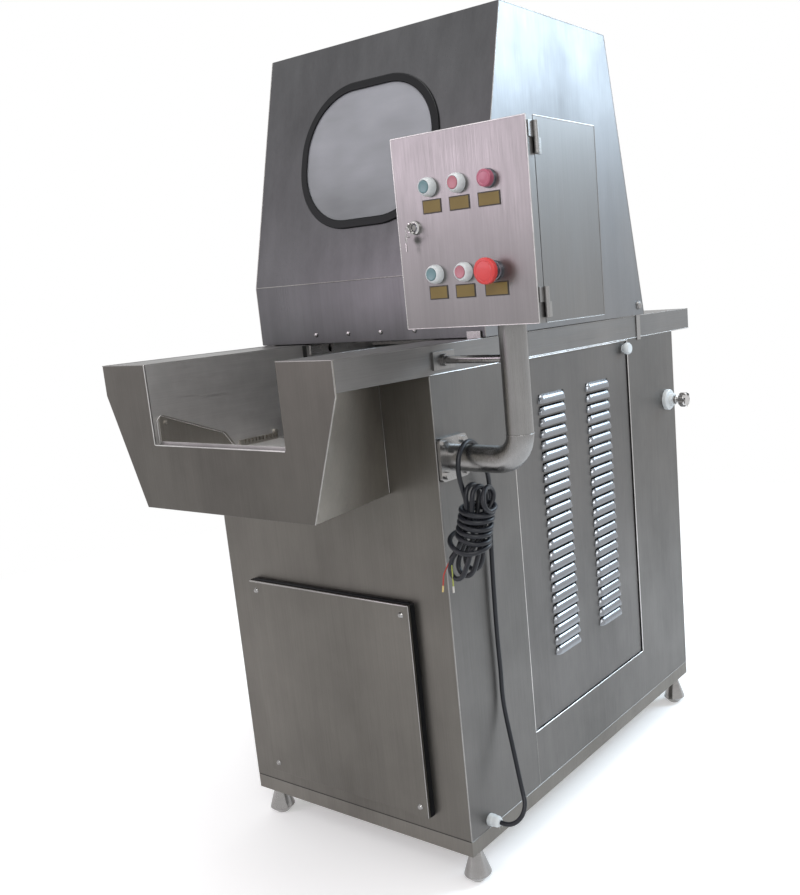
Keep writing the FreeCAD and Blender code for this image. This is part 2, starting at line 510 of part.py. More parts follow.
def make_tank():
    """Brine tank on the floor pan, its suction filter, the pump set and the fixed pipes."""
    t = SHEET
    floor = FOOT_H + FRAME_SHEET
    tank = box(TANK_X0, TANK_X1, TANK_Y0, TANK_Y1, floor, floor + TANK_H)
    tank = tank.cut(box(TANK_X0 + t, TANK_X1 - t, TANK_Y0 + t, TANK_Y1 - t, floor + t, floor + TANK_H + 1))
    pump_x, pump_y, pump_z = -120.0, 300.0, floor + 92
    suction = V(-100, TANK_Y1, pump_z)
    tank = tank.cut(rod(suction - Y * 10, Y, PIPE_D, 20))
    filter_d, filter_l = 60.0, 90.0
    cage = rod(suction - Y * (filter_l + 20), Y, filter_d, filter_l)
    cage = cage.cut(rod(suction - Y * (filter_l + 10), Y, PIPE_D, filter_l))
    for i in range(4):
        at = suction - Y * (filter_l + 6 - i * 20)
        groove = rod(at, Y, filter_d + 2, 6)
        cage = cage.cut(groove.cut(rod(at - Y, Y, filter_d - 8, 8)))
    pump_r, pump_t = 64.0, 62.0
    body = revolve([(0, 0), (56, 0), (pump_r, 10), (pump_r, 46), (40, pump_t), (0, pump_t)],
                   V(pump_x, pump_y, pump_z), V(-1, 0, 0), Z)
    outlet = V(pump_x - 28, pump_y, pump_z + 96)
    body = body.fuse(rod(outlet - Z * 96, Z, PIPE_D + 14, 96)).removeSplitter()
    motor = revolve([(0, 0), (60, 0), (60, 12), (70, 12), (70, 190), (62, 196), (62, 224), (0, 224)],
                    V(pump_x, pump_y, pump_z), X, Z)
    foot = box(pump_x + 40, pump_x + 180, pump_y - 70, pump_y + 70, floor, pump_z - 40)
    motor = motor.fuse(foot).removeSplitter()
    side_x, turn_y = -262.0, TANK_Y1 + 50
    bend_r = 34.0
    path_in = rounded_path([suction - Y * 20, V(suction.x, turn_y, pump_z), V(side_x, turn_y, pump_z),
                            V(side_x, pump_y, pump_z), V(pump_x - pump_t, pump_y, pump_z)], bend_r)
    level = 560.0
    path_out = rounded_path([outlet, V(outlet.x, pump_y, level), V(outlet.x, VALVE_Y, level),
                             V(VALVE_X, VALVE_Y, level), V(VALVE_X, VALVE_Y, VALVE_Z - VALVE_BLOCK / 2)],
                            bend_r)
    path_feed = rounded_path([V(FEED_X, VALVE_Y - VALVE_BLOCK / 2, VALVE_Z), V(FEED_X, FEED_Y, VALVE_Z),
                              V(FEED_X, FEED_Y, RAIL_Z + 12)], bend_r)
    feed = pipe_along(path_feed, PIPE_D, PIPE_D - 5)
    gland_h = 14.0
    gland = rod(V(FEED_X, FEED_Y, RAIL_Z + 12), Z, PIPE_D + 8, gland_h)
    gland = gland.cut(rod(V(FEED_X, FEED_Y, RAIL_Z), Z, FEED_D + 2 * RUN, gland_h + 14))
    feed = fuse([feed, gland])
    pipes = group([pipe_along(path_in, PIPE_D), pipe_along(path_out, PIPE_D), feed, cage, valve_block()])
    return {"brine_tank": tank, "brine_pump": group([body, motor]), "brine_pipes": pipes}


def rounded_path(points, radius):
    """Wire of straight runs joined by arcs of one radius."""
    edges, start = [], points[0]
    for before, corner, after in zip(points, points[1:], points[2:]):
        into, out = (corner - before), (after - corner)
        into.normalize()
        out.normalize()
        turn = math.acos(max(-1.0, min(1.0, into.dot(out))))
        reach = radius * math.tan(turn / 2)
        bisector = out - into
        bisector.normalize()
        middle = corner + bisector * (radius / math.cos(turn / 2) - radius)
        first, last = corner - into * reach, corner + out * reach
        if (first - start).Length > 1e-6:
            edges.append(Part.LineSegment(start, first).toShape())
        edges.append(Part.Arc(first, middle, last).toShape())
        start = last
    edges.append(Part.LineSegment(start, points[-1]).toShape())
    return Part.Wire(edges)


def pipe_along(path, diameter, bore=0.0):
    """Round bar or tube that follows a path."""
    start = path.Vertexes[0].Point
    heading = path.Edges[0].tangentAt(path.Edges[0].FirstParameter)
    solid = path.makePipeShell([Part.Wire([Part.makeCircle(diameter / 2, start, heading)])], True, False)
    if bore:
        core = path.makePipeShell([Part.Wire([Part.makeCircle(bore / 2, start, heading)])], True, False)
        solid = solid.cut(core)
    return solid


def make_drive():
    """Drive frame, worm gearbox with its motor, bearing blocks, crankshaft and connecting rods."""
    floor = FOOT_H + FRAME_SHEET
    bearing_r, base_t, base_half_l, block_w = 45.0, 18.0, 95.0, 50.0
    beam_t = 40.0
    beam_top = CRANK_Z - bearing_r - base_t + 3
    leg_y = base_half_l - beam_t / 2
    members = []
    for s in (-1, 1):
        x0 = s * BEARING_X - beam_t / 2
        members.append(box(x0, x0 + beam_t, -base_half_l, base_half_l, beam_top - beam_t, beam_top))
        for y in (-leg_y, leg_y):
            members.append(box(x0, x0 + beam_t, y - beam_t / 2, y + beam_t / 2, floor, beam_top - beam_t))
    gear_half_w, gear_half_l, gear_drop, gear_rise = 60.0, 75.0, 95.0, 85.0
    tie_top = CRANK_Z - gear_drop
    tie_half = BEARING_X - beam_t / 2
    for y in (-leg_y, leg_y):
        members.append(box(-tie_half, tie_half, y - beam_t / 2, y + beam_t / 2, tie_top - beam_t, tie_top))
    frame = fuse(members)
    blocks = []
    for s in (-1, 1):
        x0 = s * BEARING_X - block_w / 2
        housing = rod(V(x0, 0, CRANK_Z), X, 2 * bearing_r, block_w)
        base = box(x0, x0 + block_w, -base_half_l, base_half_l, beam_top, beam_top + base_t)
        block = housing.fuse(base).cut(rod(V(x0 - 1, 0, CRANK_Z), X, SHAFT_D + 2 * RUN, block_w + 2))
        blocks.append(block.removeSplitter())
    gearbox = box(-gear_half_w, gear_half_w, -gear_half_l, gear_half_l, tie_top, CRANK_Z + 10)
    gearbox = gearbox.fuse(rod(V(-gear_half_w, 0, CRANK_Z), X, 2 * gear_rise, 2 * gear_half_w))
    gearbox = gearbox.cut(rod(V(-gear_half_w - 1, 0, CRANK_Z), X, SHAFT_D + 2 * RUN, 2 * gear_half_w + 2))
    worm_z = tie_top + 72
    motor = revolve([(0, 0), (70, 0), (70, 10), (58, 16), (58, 150), (52, 156), (52, 196), (0, 196)],
                    V(0, gear_half_l, worm_z), Y, X)
    shaft_l = 2 * CRANK_DISC_X
    shaft = rod(V(-shaft_l / 2, 0, CRANK_Z), X, SHAFT_D, shaft_l)
    discs = []
    for s in (-1, 1):
        inner = V(s * CRANK_DISC_X, 0, CRANK_Z)
        disc = rod(inner, X * s, CRANK_DISC_D, CRANK_DISC_T)
        disc = disc.cut(rod(inner + X * s * (CRANK_DISC_T - 8) + Z * CRANK_R, X * s, WRIST_D + 1, 10))
        for a in (60, 120, 180, 240, 300):
            hole = inner - X * s + Y * CRANK_R * 0.9 * math.sin(math.radians(a))
            hole = hole + Z * CRANK_R * 0.9 * math.cos(math.radians(a))
            disc = disc.cut(rod(hole, X * s, 26, CRANK_DISC_T + 2))
        discs.append(disc)
    crankshaft = fuse([shaft] + discs)
    pin_z = CRANK_Z + CRANK_R
    shank_w = 30.0
    rods = []
    for s in (-1, 1):
        x0 = s * COLUMN_X - ROD_T / 2
        link = rod(V(x0, 0, WRIST_Z), X, ROD_EYE_D, ROD_T).fuse(rod(V(x0, 0, pin_z), X, ROD_EYE_D, ROD_T))
        link = link.fuse(box(x0, x0 + ROD_T, -shank_w / 2, shank_w / 2, pin_z, WRIST_Z))
        link = link.cut(rod(V(x0 - 1, 0, WRIST_Z), X, WRIST_D + 2 * RUN, ROD_T + 2))
        pin_start = s * (CRANK_DISC_X + CRANK_DISC_T + 0.5)
        pin_end = s * (COLUMN_X + ROD_T / 2 + 4)
        pin = rod(V(pin_start, 0, pin_z), X * s, WRIST_D, abs(pin_end - pin_start))
        rods.append(link.fuse(pin).removeSplitter())
    return {"drive_frame": group([frame] + blocks), "gearmotor": group([gearbox.removeSplitter(), motor]),
            "crankshaft": crankshaft, "connecting_rods": group(rods)}


def make_head():
    """Columns, beam, manifold, needles and the stripper plate, with the sliding feed tube."""
    columns, pins = [], []
    ear_t, ear_gap, fork_l, fork_h = 10.0, ROD_T + 4, 56.0, 60.0
    half = ear_gap / 2 + ear_t
    for s in (-1, 1):
        at = column_place(s)
        column = rod(at + Z * COLUMN_Z0, Z, COLUMN_D, COLUMN_Z1 - COLUMN_Z0)
        x = at.x
        fork = box(x - half, x + half, -fork_l / 2, fork_l / 2, COLUMN_Z0 - fork_h, COLUMN_Z0)
        fork = fork.cut(box(x - ear_gap / 2, x + ear_gap / 2, -fork_l, fork_l, 0, COLUMN_Z0 - 4))
        fork = fork.cut(rod(V(x - half - 1, 0, WRIST_Z), X, WRIST_D, 2 * half + 2))
        columns.append(fuse([column, fork]))
        pins.append(rod(V(x - half - 3, 0, WRIST_Z), X, WRIST_D, 2 * half + 6))
    beam = box(-BEAM_W / 2, BEAM_W / 2, -BEAM_L / 2, BEAM_L / 2, BEAM_Z, BEAM_Z + BEAM_H)
    nut_d = COLUMN_D + 14
    nuts = []
    for s in (-1, 1):
        at = column_place(s)
        beam = beam.cut(rod(at + Z * (BEAM_Z - 1), Z, COLUMN_D, BEAM_H + 2))
        nut = rod(at + Z * (BEAM_Z + BEAM_H), Z, nut_d, 20)
        nuts.append(nut.cut(rod(at + Z * BEAM_Z, Z, COLUMN_D, COLUMN_Z1 - BEAM_Z)))
    block = box(-MANIFOLD_W / 2, MANIFOLD_W / 2, -MANIFOLD_L / 2, MANIFOLD_L / 2,
                MANIFOLD_Z, MANIFOLD_Z + MANIFOLD_H)
    top = MANIFOLD_Z + MANIFOLD_H
    hangers = [rod(V(x, y, top), Z, 20, BEAM_Z - top) for x in (-110, 110) for y in (-20, 20)]
    strip_t, strip_w = 8.0, 20.0
    row_y = [(i - (NEEDLE_ROWS - 1) / 2) * NEEDLE_PITCH_Y for i in range(NEEDLE_ROWS)]
    col_x = [(i - (NEEDLE_COLUMNS - 1) / 2) * NEEDLE_PITCH_X for i in range(NEEDLE_COLUMNS)]
    strips = [box(-MANIFOLD_W / 2 + 6, MANIFOLD_W / 2 - 6, y - strip_w / 2, y + strip_w / 2,
                  MANIFOLD_Z - strip_t, MANIFOLD_Z) for y in row_y]
    manifold = fuse([block] + hangers + strips)
    rod_x, rod_y = 124.0, MANIFOLD_L / 2 - 11
    rods, collar_d, collar_t = [], 18.0, 8.0
    for x in (-rod_x, rod_x):
        for y in (-rod_y, rod_y):
            manifold = manifold.cut(rod(V(x, y, MANIFOLD_Z - strip_t - 1), Z, STRIPPER_ROD_D + 2 * RUN,
                                        MANIFOLD_H + strip_t + 2))
            foot = V(x, y, STRIPPER_Z + STRIPPER_T)
            rods.append(rod(foot, Z, STRIPPER_ROD_D, top + SEAT_GAP + collar_t + 4 - foot.z))
            rods.append(rod(V(x, y, top + SEAT_GAP), Z, collar_d, collar_t))
    needle_top = MANIFOLD_Z - strip_t
    needles = [rod(V(x, y, NEEDLE_TIP_Z), Z, NEEDLE_D, needle_top - NEEDLE_TIP_Z)
               for x in col_x for y in row_y]
    plate = box(-STRIPPER_W / 2, STRIPPER_W / 2, -STRIPPER_L / 2, STRIPPER_L / 2,
                STRIPPER_Z, STRIPPER_Z + STRIPPER_T)
    upturn = 14.0
    for s in (-1, 1):
        edge = s * STRIPPER_L / 2
        plate = plate.fuse(prism([V(-STRIPPER_W / 2, edge, STRIPPER_Z),
                                  V(-STRIPPER_W / 2, edge + s * 22, STRIPPER_Z + upturn),
                                  V(-STRIPPER_W / 2, edge + s * 22, STRIPPER_Z + upturn + 8),
                                  V(-STRIPPER_W / 2, edge, STRIPPER_Z + STRIPPER_T)], X * STRIPPER_W))
    slot_w = NEEDLE_D + 4
    for y in row_y:
        plate = plate.cut(box(col_x[0] - 8, col_x[-1] + 8, y - slot_w / 2, y + slot_w / 2,
                              STRIPPER_Z - 1, STRIPPER_Z + STRIPPER_T + 1))
    stripper = fuse([plate] + rods)
    feed_low = DECK_Z + 16
    inlet = V(100, MANIFOLD_L / 2, MANIFOLD_Z + MANIFOLD_H - FEED_D / 2 - 2)
    tube = pipe_along(rounded_path([V(FEED_X, FEED_Y, feed_low), V(FEED_X, FEED_Y, inlet.z),
                                    V(inlet.x, FEED_Y, inlet.z), inlet], 24), FEED_D, FEED_D - 4)
    return {"needle_columns": group(columns + pins + nuts), "head_beam": beam,
            "needle_manifold": fuse([manifold, tube]), "needles": group(needles),
            "stripper_plate": stripper}


def hood_slope():
    """Origin, up-the-slope direction and outward normal of the hood's slanted front."""
    foot, head = V(0, HOOD_FRONT_Y, HOOD_BAND_Z), V(0, HOOD_TOP_FRONT_Y, HOOD_TOP_Z)
    up = head - foot
    up.normalize()
    return foot, up, up.cross(X) * -1


def make_hood():
    """Hinged hood with its rubber-framed window, band screws, rest blocks and hinge straps."""
    t = SHEET
    profile = [(HOOD_FRONT_Y, HOOD_Z0), (HOOD_FRONT_Y, HOOD_BAND_Z), (HOOD_TOP_FRONT_Y, HOOD_TOP_Z),
               (HOOD_TOP_REAR_Y, HOOD_TOP_Z), (HOOD_REAR_Y, HOOD_Z0)]
    solid = prism([V(-HOOD_HALF_W, y, z) for y, z in profile], X * 2 * HOOD_HALF_W)
    bottom = [f for f in solid.Faces if abs(f.CenterOfMass.z - HOOD_Z0) < 0.01]
    shell = solid.makeThickness(bottom, -t, 0.001)
    shell = shell.cut(box(-HOOD_HALF_W + t, HOOD_HALF_W - t, HOOD_PIVOT_Y - 10, HOOD_REAR_Y + 1,
                          HOOD_Z0 - 1, HOOD_Z0 + HOOD_REAR_LIFT))
    band_lip = box(-HOOD_HALF_W + t, HOOD_HALF_W - t, HOOD_FRONT_Y + t, HOOD_FRONT_Y + t + 12,
                   HOOD_Z0, HOOD_Z0 + t)
    shell = shell.fuse(band_lip).removeSplitter()
    foot, up, out = hood_slope()
    centre = foot + up * WINDOW_UP

    def pane(grow, radius, start, depth):
        wire = rounded_outline(WINDOW_W + grow, WINDOW_H + grow, radius, centre + out * start, X, up)
        return Part.Face(wire).extrude(out * depth)

    proud = 4.0
    hole = pane(-RUBBER_W, WINDOW_R - RUBBER_W / 2, -t - 5, t + 10)
    shell = shell.cut(hole)
    glass = pane(-1.2 * RUBBER_W, WINDOW_R - 0.6 * RUBBER_W, -t / 2 - GLASS_T / 2, GLASS_T)
    ring = pane(0, WINDOW_R, proud - RUBBER_T, RUBBER_T)
    ring = ring.cut(pane(-2 * RUBBER_W, WINDOW_R - RUBBER_W, proud - RUBBER_T - 1, RUBBER_T + 2))
    rubber = ring.cut(shell).cut(glass)
    pivot = [V(s * (HOOD_HALF_W - t - 1), HOOD_PIVOT_Y, HOOD_PIVOT_Z) for s in (-1, 1)]
    for s, p in zip((-1, 1), pivot):
        shell = shell.cut(rod(p, X * s, HOOD_PIVOT_D + 2 * RUN, t + 2))
    strap_x = HALF_W
    strap = box(strap_x, strap_x + STRAP_T, HOOD_PIVOT_Y - STRAP_W / 2, HOOD_PIVOT_Y + STRAP_W / 2,
                RAIL_Z - STRAP_DROP, HOOD_PIVOT_Z)
    strap = strap.fuse(rod(V(strap_x, HOOD_PIVOT_Y, HOOD_PIVOT_Z), X, STRAP_W, STRAP_T)).removeSplitter()
    strap = strap.cut(rod(V(strap_x - 1, HOOD_PIVOT_Y, HOOD_PIVOT_Z), X, HOOD_PIVOT_D, STRAP_T + 2))
    face_x = HOOD_HALF_W + SEAT_GAP
    start = V(HALF_W - 8, HOOD_PIVOT_Y, HOOD_PIVOT_Z)
    bolt = rod(start, X, HOOD_PIVOT_D, face_x - start.x)
    nut = rod(start, X, HOOD_PIVOT_D + 8, 7.5)
    head = revolve([(0, 0), (10, 0), (9, 4), (0, PIVOT_HEAD_H)], V(face_x, HOOD_PIVOT_Y, HOOD_PIVOT_Z), X, Z)
    bolt = fuse([bolt, nut, head])
    screws = [revolve([(0, 0), (5, 0), (4, 2.5), (0, 3.5)], V(x, HOOD_FRONT_Y, HOOD_Z0 + 18),
                      V(0, -1, 0), X) for x in BAND_SCREW_X]
    block_x0, block_x1 = HALF_W - 36, HALF_W - 4
    front = HOOD_FRONT_Y - 0.5
    rest = box(block_x0, block_x1, front - 4, HOOD_FRONT_Y + 14, RAIL_Z, HOOD_Z0 - SEAT_GAP)
    stop = box(block_x0, block_x1, front - 4, front, RAIL_Z, HOOD_Z0 + 12)
    rests = group([rest.fuse(stop).removeSplitter(), mirror_x(rest)])
    return {"hood_shell": shell, "window_glass": glass, "window_rubber": rubber,
            "hood_band_screws": group(screws), "hood_rest_blocks": rests,
            "hood_hinge_straps": group([strap, mirror_x(strap), bolt, mirror_x(bolt)])}


def louvre(y_mid, z_top, face_x):
    """One pressed louvre: a curved hood over a slot, open at its lower edge."""
    z0 = z_top - LOUVRE_H
    t = 1.2
    y0, y1 = y_mid - LOUVRE_L / 2, y_mid + LOUVRE_L / 2

    def profile(out, drop):
        return [V(face_x - 0.5, y0, z0), V(face_x + out, y0, z0), V(face_x + out, y0, z0 + 0.25 * drop),
                V(face_x + 0.72 * out, y0, z0 + 0.66 * drop), V(face_x, y0, z0 + drop),
                V(face_x - 0.5, y0, z0 + drop)]

    outer = prism(profile(LOUVRE_OUT, LOUVRE_H), Y * LOUVRE_L)
    hollow = [V(p.x, y0 + t, p.z) for p in profile(LOUVRE_OUT - t, LOUVRE_H - t)]
    hollow[0] = V(face_x - SHEET - 1, y0 + t, z0)
    hollow[-1] = V(face_x - SHEET - 1, y0 + t, z0 + LOUVRE_H - t)
    hollow = [V(p.x, p.y, p.z - 1) if p.z < z0 + 0.01 else p for p in hollow]
    return outer, prism(hollow, Y * (LOUVRE_L - 2 * t))


def make_side_door():
    """Louvred door, its pivot brackets, and the quarter-turn latch."""
    face = HALF_W - DOOR_RECESS
    door = folded_tray(face - DOOR_RETURN, face, -DOOR_HALF_L, DOOR_HALF_L, DOOR_Z0, DOOR_Z1, SHEET, "x-")
    hoods, slots = [], []
    for y in LOUVRE_Y:
        for i in range(LOUVRE_ROWS):
            outer, hollow = louvre(y, LOUVRE_TOP_Z - i * LOUVRE_PITCH, face)
            hoods.append(outer)
            slots.append(hollow)
    door = door.fuse(hoods).cut(Part.makeCompound(slots))
    pin_at = V(face - DOOR_PIN_IN, -DOOR_HALF_L + DOOR_PIN_EDGE, 0)
    bracket_t, reach = 3.0, 22.0
    brackets = []
    low, high = DOOR_Z0 - 1 - bracket_t, DOOR_Z1 + 1
    pin_l = 12.0
    for z, up in ((low, 1), (high, -1)):
        arm = box(pin_at.x - 8, HALF_W - SHEET, -DOOR_HALF_L - reach, pin_at.y + 8, z, z + bracket_t)
        wall_x = HALF_W - SHEET
        leaf = box(wall_x - bracket_t, wall_x, -DOOR_HALF_L - reach, -DOOR_HALF_L - DOOR_GAP,
                   z if up > 0 else z - 20, z + 20 if up > 0 else z + bracket_t)
        pin = rod(V(pin_at.x, pin_at.y, z if up > 0 else z + bracket_t), Z * up, DOOR_PIN_D, pin_l + bracket_t)
        brackets.append(fuse([arm, leaf, pin]))
    for z in (DOOR_Z0 - 1, DOOR_Z1 - SHEET - 1):
        door = door.cut(rod(V(pin_at.x, pin_at.y, z), Z, DOOR_PIN_D + 2 * RUN, SHEET + 2))
    door = door.removeSplitter()
    shaft_d = 8.0
    at = V(face, LATCH_Y, LATCH_Z)
    door = door.cut(rod(at - X * (SHEET + 1), X, shaft_d + 2 * RUN, SHEET + 2))
    knob = revolve([(0, SEAT_GAP), (9, SEAT_GAP), (9, 5), (LATCH_KNOB_D / 2 - 2, 6),
                    (LATCH_KNOB_D / 2, 9), (LATCH_KNOB_D / 2, 15), (LATCH_KNOB_D / 2 - 3, 19), (0, 20)],
                   at, X, Z)
    inside = DOOR_RETURN + 5
    tongue_l, tongue_t = 27.0, 3.0
    shaft = rod(at - X * inside, X, shaft_d, inside + 2)
    tongue = box(face - inside, face - inside + tongue_t, LATCH_Y - 7, LATCH_Y + 7,
                 LATCH_Z - tongue_l, LATCH_Z + 7)
    latch = fuse([knob, shaft, tongue])
    edge = DOOR_HALF_L + DOOR_GAP + 2
    keeper = box(face - inside + tongue_t + 1, HALF_W - SHEET, edge, edge + 12, LATCH_Z - 14, LATCH_Z + 14)
    keeper = keeper.cut(box(face - inside + tongue_t + 3, HALF_W - SHEET - 2, edge - 1, edge + 10,
                            LATCH_Z - 15, LATCH_Z + 15))
    return {"side_door": door, "door_brackets": group(brackets + [keeper]), "door_latch": latch}


def make_arm():
    """Flanged arm that carries the control box, with its bolts and the stay to the rail."""
    flange = rounded_outline(FLANGE, FLANGE, 8, V(HALF_W, ARM_Y, ARM_Z), Y, Z)
    flange = Part.Face(flange).extrude(X * FLANGE_T)
    flange = flange.cut(rod(V(HALF_W - 1, ARM_Y, ARM_Z), X, ARM_D - 2 * ARM_WALL, FLANGE_T + 2))
    bolts = []
    half = FLANGE_BOLT_PITCH / 2
    for y in (-half, half):
        for z in (-half, half):
            at = V(HALF_W, ARM_Y + y, ARM_Z + z)
            flange = flange.cut(rod(at - X, X, FLANGE_BOLT_D, FLANGE_T + 2))
            points = [at + X * FLANGE_T + Y * 7 * math.cos(a) + Z * 7 * math.sin(a)
                      for a in [math.radians(60 * i) for i in range(6)]]
            head = prism(points, X * 6)
            bolts.append(fuse([head, rod(at, X, FLANGE_BOLT_D, FLANGE_T)]))
    path = rounded_path([V(HALF_W + FLANGE_T, ARM_Y, ARM_Z), V(ARM_X, ARM_Y, ARM_Z),
                         V(ARM_X, ARM_Y, BOX_Z0)], ARM_BEND_R)
    pipe = pipe_along(path, ARM_D, ARM_D - 2 * ARM_WALL)
    stay_y = ARM_Y
    plate = box(HALF_W, HALF_W + STAY_PLATE_T, stay_y - STAY_PLATE_L / 2, stay_y + STAY_PLATE_L / 2,
                STAY_Z - STAY_PLATE_H / 2, STAY_Z + STAY_PLATE_H / 2)
    bar = rod(V(HALF_W + STAY_PLATE_T, stay_y, STAY_Z), X, STAY_D, ARM_X - HALF_W - STAY_PLATE_T)
    bar = bar.cut(rod(V(ARM_X, ARM_Y, ARM_Z), Z, ARM_D, BOX_Z0 - ARM_Z))
    nut = rod(V(HALF_W + STAY_PLATE_T, stay_y, STAY_Z), X, STAY_D + 8, 7)
    arm = fuse([flange, pipe, plate, bar, nut])
    return {"control_arm": arm, "arm_flange_bolts": group(bolts)}


def make_control_box():
    """Control box, its hinged door and what the door and the box carry."""
    x1, y_face, z1 = BOX_X0 + BOX_W, BOX_Y0, BOX_Z0 + BOX_H
    y_shell = y_face + BOX_DOOR_T + BOX_GAP
    y1 = BOX_Y0 + BOX_D
    t = BOX_SHEET
    shell = folded_tray(BOX_X0, x1, y_shell, y1, BOX_Z0, z1, t, "y-")
    rim = 10.0
    rim_plate = box(BOX_X0 + t, x1 - t, y_shell, y_shell + t, BOX_Z0 + t, z1 - t)
    rim_plate = rim_plate.cut(box(BOX_X0 + t + rim, x1 - t - rim, y_shell - 1, y_shell + t + 1,
                                  BOX_Z0 + t + rim, z1 - t - rim))
    shell = shell.cut(rod(V(ARM_X, ARM_Y, BOX_Z0 - 1), Z, ARM_D - 2 * ARM_WALL, t + 2))
    door = folded_tray(BOX_X0, x1, y_face, y_face + BOX_DOOR_T, BOX_Z0, z1, t, "y+")
    barrel_d, body_l = 22.0, 44.0

    def on_door(x, z):
        return V(BOX_X0 + x, y_face, BOX_Z0 + z)

    bezels, caps, labels = [], {}, []
    cap_names = ("green_start_button", "red_stop_button")
    for row, z in enumerate(BUTTON_Z):
        for col, x in enumerate(BUTTON_X):
            at = on_door(x, z)
            door = door.cut(rod(at - Y, Y, barrel_d, t + 2))
            label = at + V(LABEL_SHIFT, 0, -LABEL_DROP)
            w = LABEL_W if col < 2 else LABEL_W + 3
            labels.append(box(label.x - w / 2, label.x + w / 2, y_face - LABEL_T, y_face,
                              label.z - LABEL_H / 2, label.z + LABEL_H / 2))
            if col == 2:
                continue
            bore_r = BUTTON_D / 2 + 0.1
            bezel = revolve([(bore_r, -BEZEL_H), (BEZEL_D / 2 - 2.5, -BEZEL_H), (BEZEL_D / 2, -BEZEL_H + 3),
                             (BEZEL_D / 2, 0), (barrel_d / 2, 0), (barrel_d / 2, body_l), (0, body_l),
                             (0, body_l - 2), (bore_r, body_l - 2)], at, Y, X)
            bezels.append(bezel)
            cap_l = 30.0
            rim_y = -BEZEL_H - 1.0
            cap = revolve([(0, rim_y), (BUTTON_D / 2 - 1, rim_y), (BUTTON_D / 2, rim_y + 1),
                           (BUTTON_D / 2, cap_l), (0, cap_l)], at, Y, X)
            caps["%s_%d" % (cap_names[col], row + 1)] = cap
    lamp_at = on_door(BUTTON_X[2], BUTTON_Z[0])
    lamp = revolve([(0, -16), (10, -14), (12, -8), (12, -5), (14, -5), (14, 0), (barrel_d / 2, 0),
                    (barrel_d / 2, body_l), (0, body_l)], lamp_at, Y, X)
    stop_at = on_door(BUTTON_X[2], BUTTON_Z[1])
    neck_r = STOP_NECK_D / 2
    inner_r = 9.0
    collar = revolve([(neck_r + 0.2, -8), (neck_r + 4, -8), (neck_r + 5, 0), (barrel_d / 2, 0),
                      (barrel_d / 2, body_l), (0, body_l), (0, body_l - 2), (inner_r + 0.1, body_l - 2),
                      (inner_r + 0.1, 0), (neck_r + 0.2, 0)], stop_at, Y, X)
    head_y = -STOP_OUT
    head = revolve([(0, head_y - 1), (8, head_y - 0.6), (STOP_HEAD_D / 2 - 5, head_y + 1),
                    (STOP_HEAD_D / 2, head_y + 5), (STOP_HEAD_D / 2, head_y + STOP_HEAD_H - 6),
                    (neck_r, head_y + STOP_HEAD_H + 4), (neck_r, -STOP_TRAVEL - 1.0),
                    (inner_r, -STOP_TRAVEL - 1.0), (inner_r, 30), (0, 30)], stop_at, Y, X)
    lock_at = on_door(LOCK_X, LOCK_Z)
    door = door.cut(rod(lock_at - Y, Y, 16, t + 2))
    lock_r, rotor_r = LOCK_D / 2, 5.0
    housing = revolve([(rotor_r + RUN, -4), (lock_r - 2, -4), (lock_r, -1), (lock_r, 0), (8, 0), (8, 20),
                       (rotor_r + RUN, 20)], lock_at, Y, X)
    cam_y = y_shell + t + 9.0
    rotor = rod(lock_at - Y * 5, Y, 2 * rotor_r, cam_y + 4.5 - y_face + 5)
    key = box(lock_at.x - 1.2, lock_at.x + 1.2, y_face - 16, y_face - 5, lock_at.z - 7, lock_at.z + 7)
    cam = box(lock_at.x - 6, lock_at.x + 6, cam_y, cam_y + 2.5, lock_at.z - 30, lock_at.z + 6)
    rotor = fuse([rotor, key, cam])
    pivot = V(x1 + BOX_HINGE_D / 2 + 0.5, y_shell - BOX_GAP / 2, 0)
    door_leaves, box_leaves = [], []
    half = BOX_HINGE_L / 2
    pin_d = 4.0
    leaf_t = 2.0
    for z in (BOX_Z0 + 8, z1 - 8 - BOX_HINGE_L):
        lower = rod(V(pivot.x, pivot.y, z), Z, BOX_HINGE_D, half - 0.3)
        pin = rod(V(pivot.x, pivot.y, z), Z, pin_d, BOX_HINGE_L)
        leaf = box(x1, x1 + leaf_t, pivot.y + 1, pivot.y + 16, z, z + half - 0.3)
        box_leaves.append(fuse([lower, pin, leaf]))
        upper = rod(V(pivot.x, pivot.y, z + half), Z, BOX_HINGE_D, half)
        leaf = box(x1, x1 + leaf_t, y_face + 3, pivot.y - 1, z + half, z + BOX_HINGE_L)
        upper = fuse([upper, leaf])
        door_leaves.append(upper.cut(rod(V(pivot.x, pivot.y, z + half - 1), Z, pin_d + 2 * RUN, half + 2)))
    plate = box(BOX_X0 + 20, x1 - 20, y1 - t - 14, y1 - t - 12, BOX_Z0 + 24, z1 - 20)
    posts = [rod(V(x, y1 - t - 12, z), Y, 8, 12) for x in (BOX_X0 + 30, x1 - 30)
             for z in (BOX_Z0 + 34, z1 - 30)]
    plate = fuse([plate] + posts)
    gear_y = y1 - t - 14
    gear = []
    for i in range(3):
        x = BOX_X0 + 44 + i * 60
        gear.append(box(x, x + 46, gear_y - 62, gear_y, z1 - 120, z1 - 46))
    for i in range(10):
        x = BOX_X0 + 46 + i * 17
        gear.append(box(x, x + 14, gear_y - 36, gear_y, BOX_Z0 + 52, BOX_Z0 + 96))
    parts = {"control_box_shell": group([shell, rim_plate] + box_leaves),
             "control_box_door": group([door, housing] + door_leaves),
             "button_bezels": group(bezels + [collar]), "indicator_lamp": lamp,
             "emergency_stop_head": head, "label_plates": group(labels), "box_lock_key": rotor,
             "control_gear": group([plate] + gear)}
    parts.update(caps)
    return parts


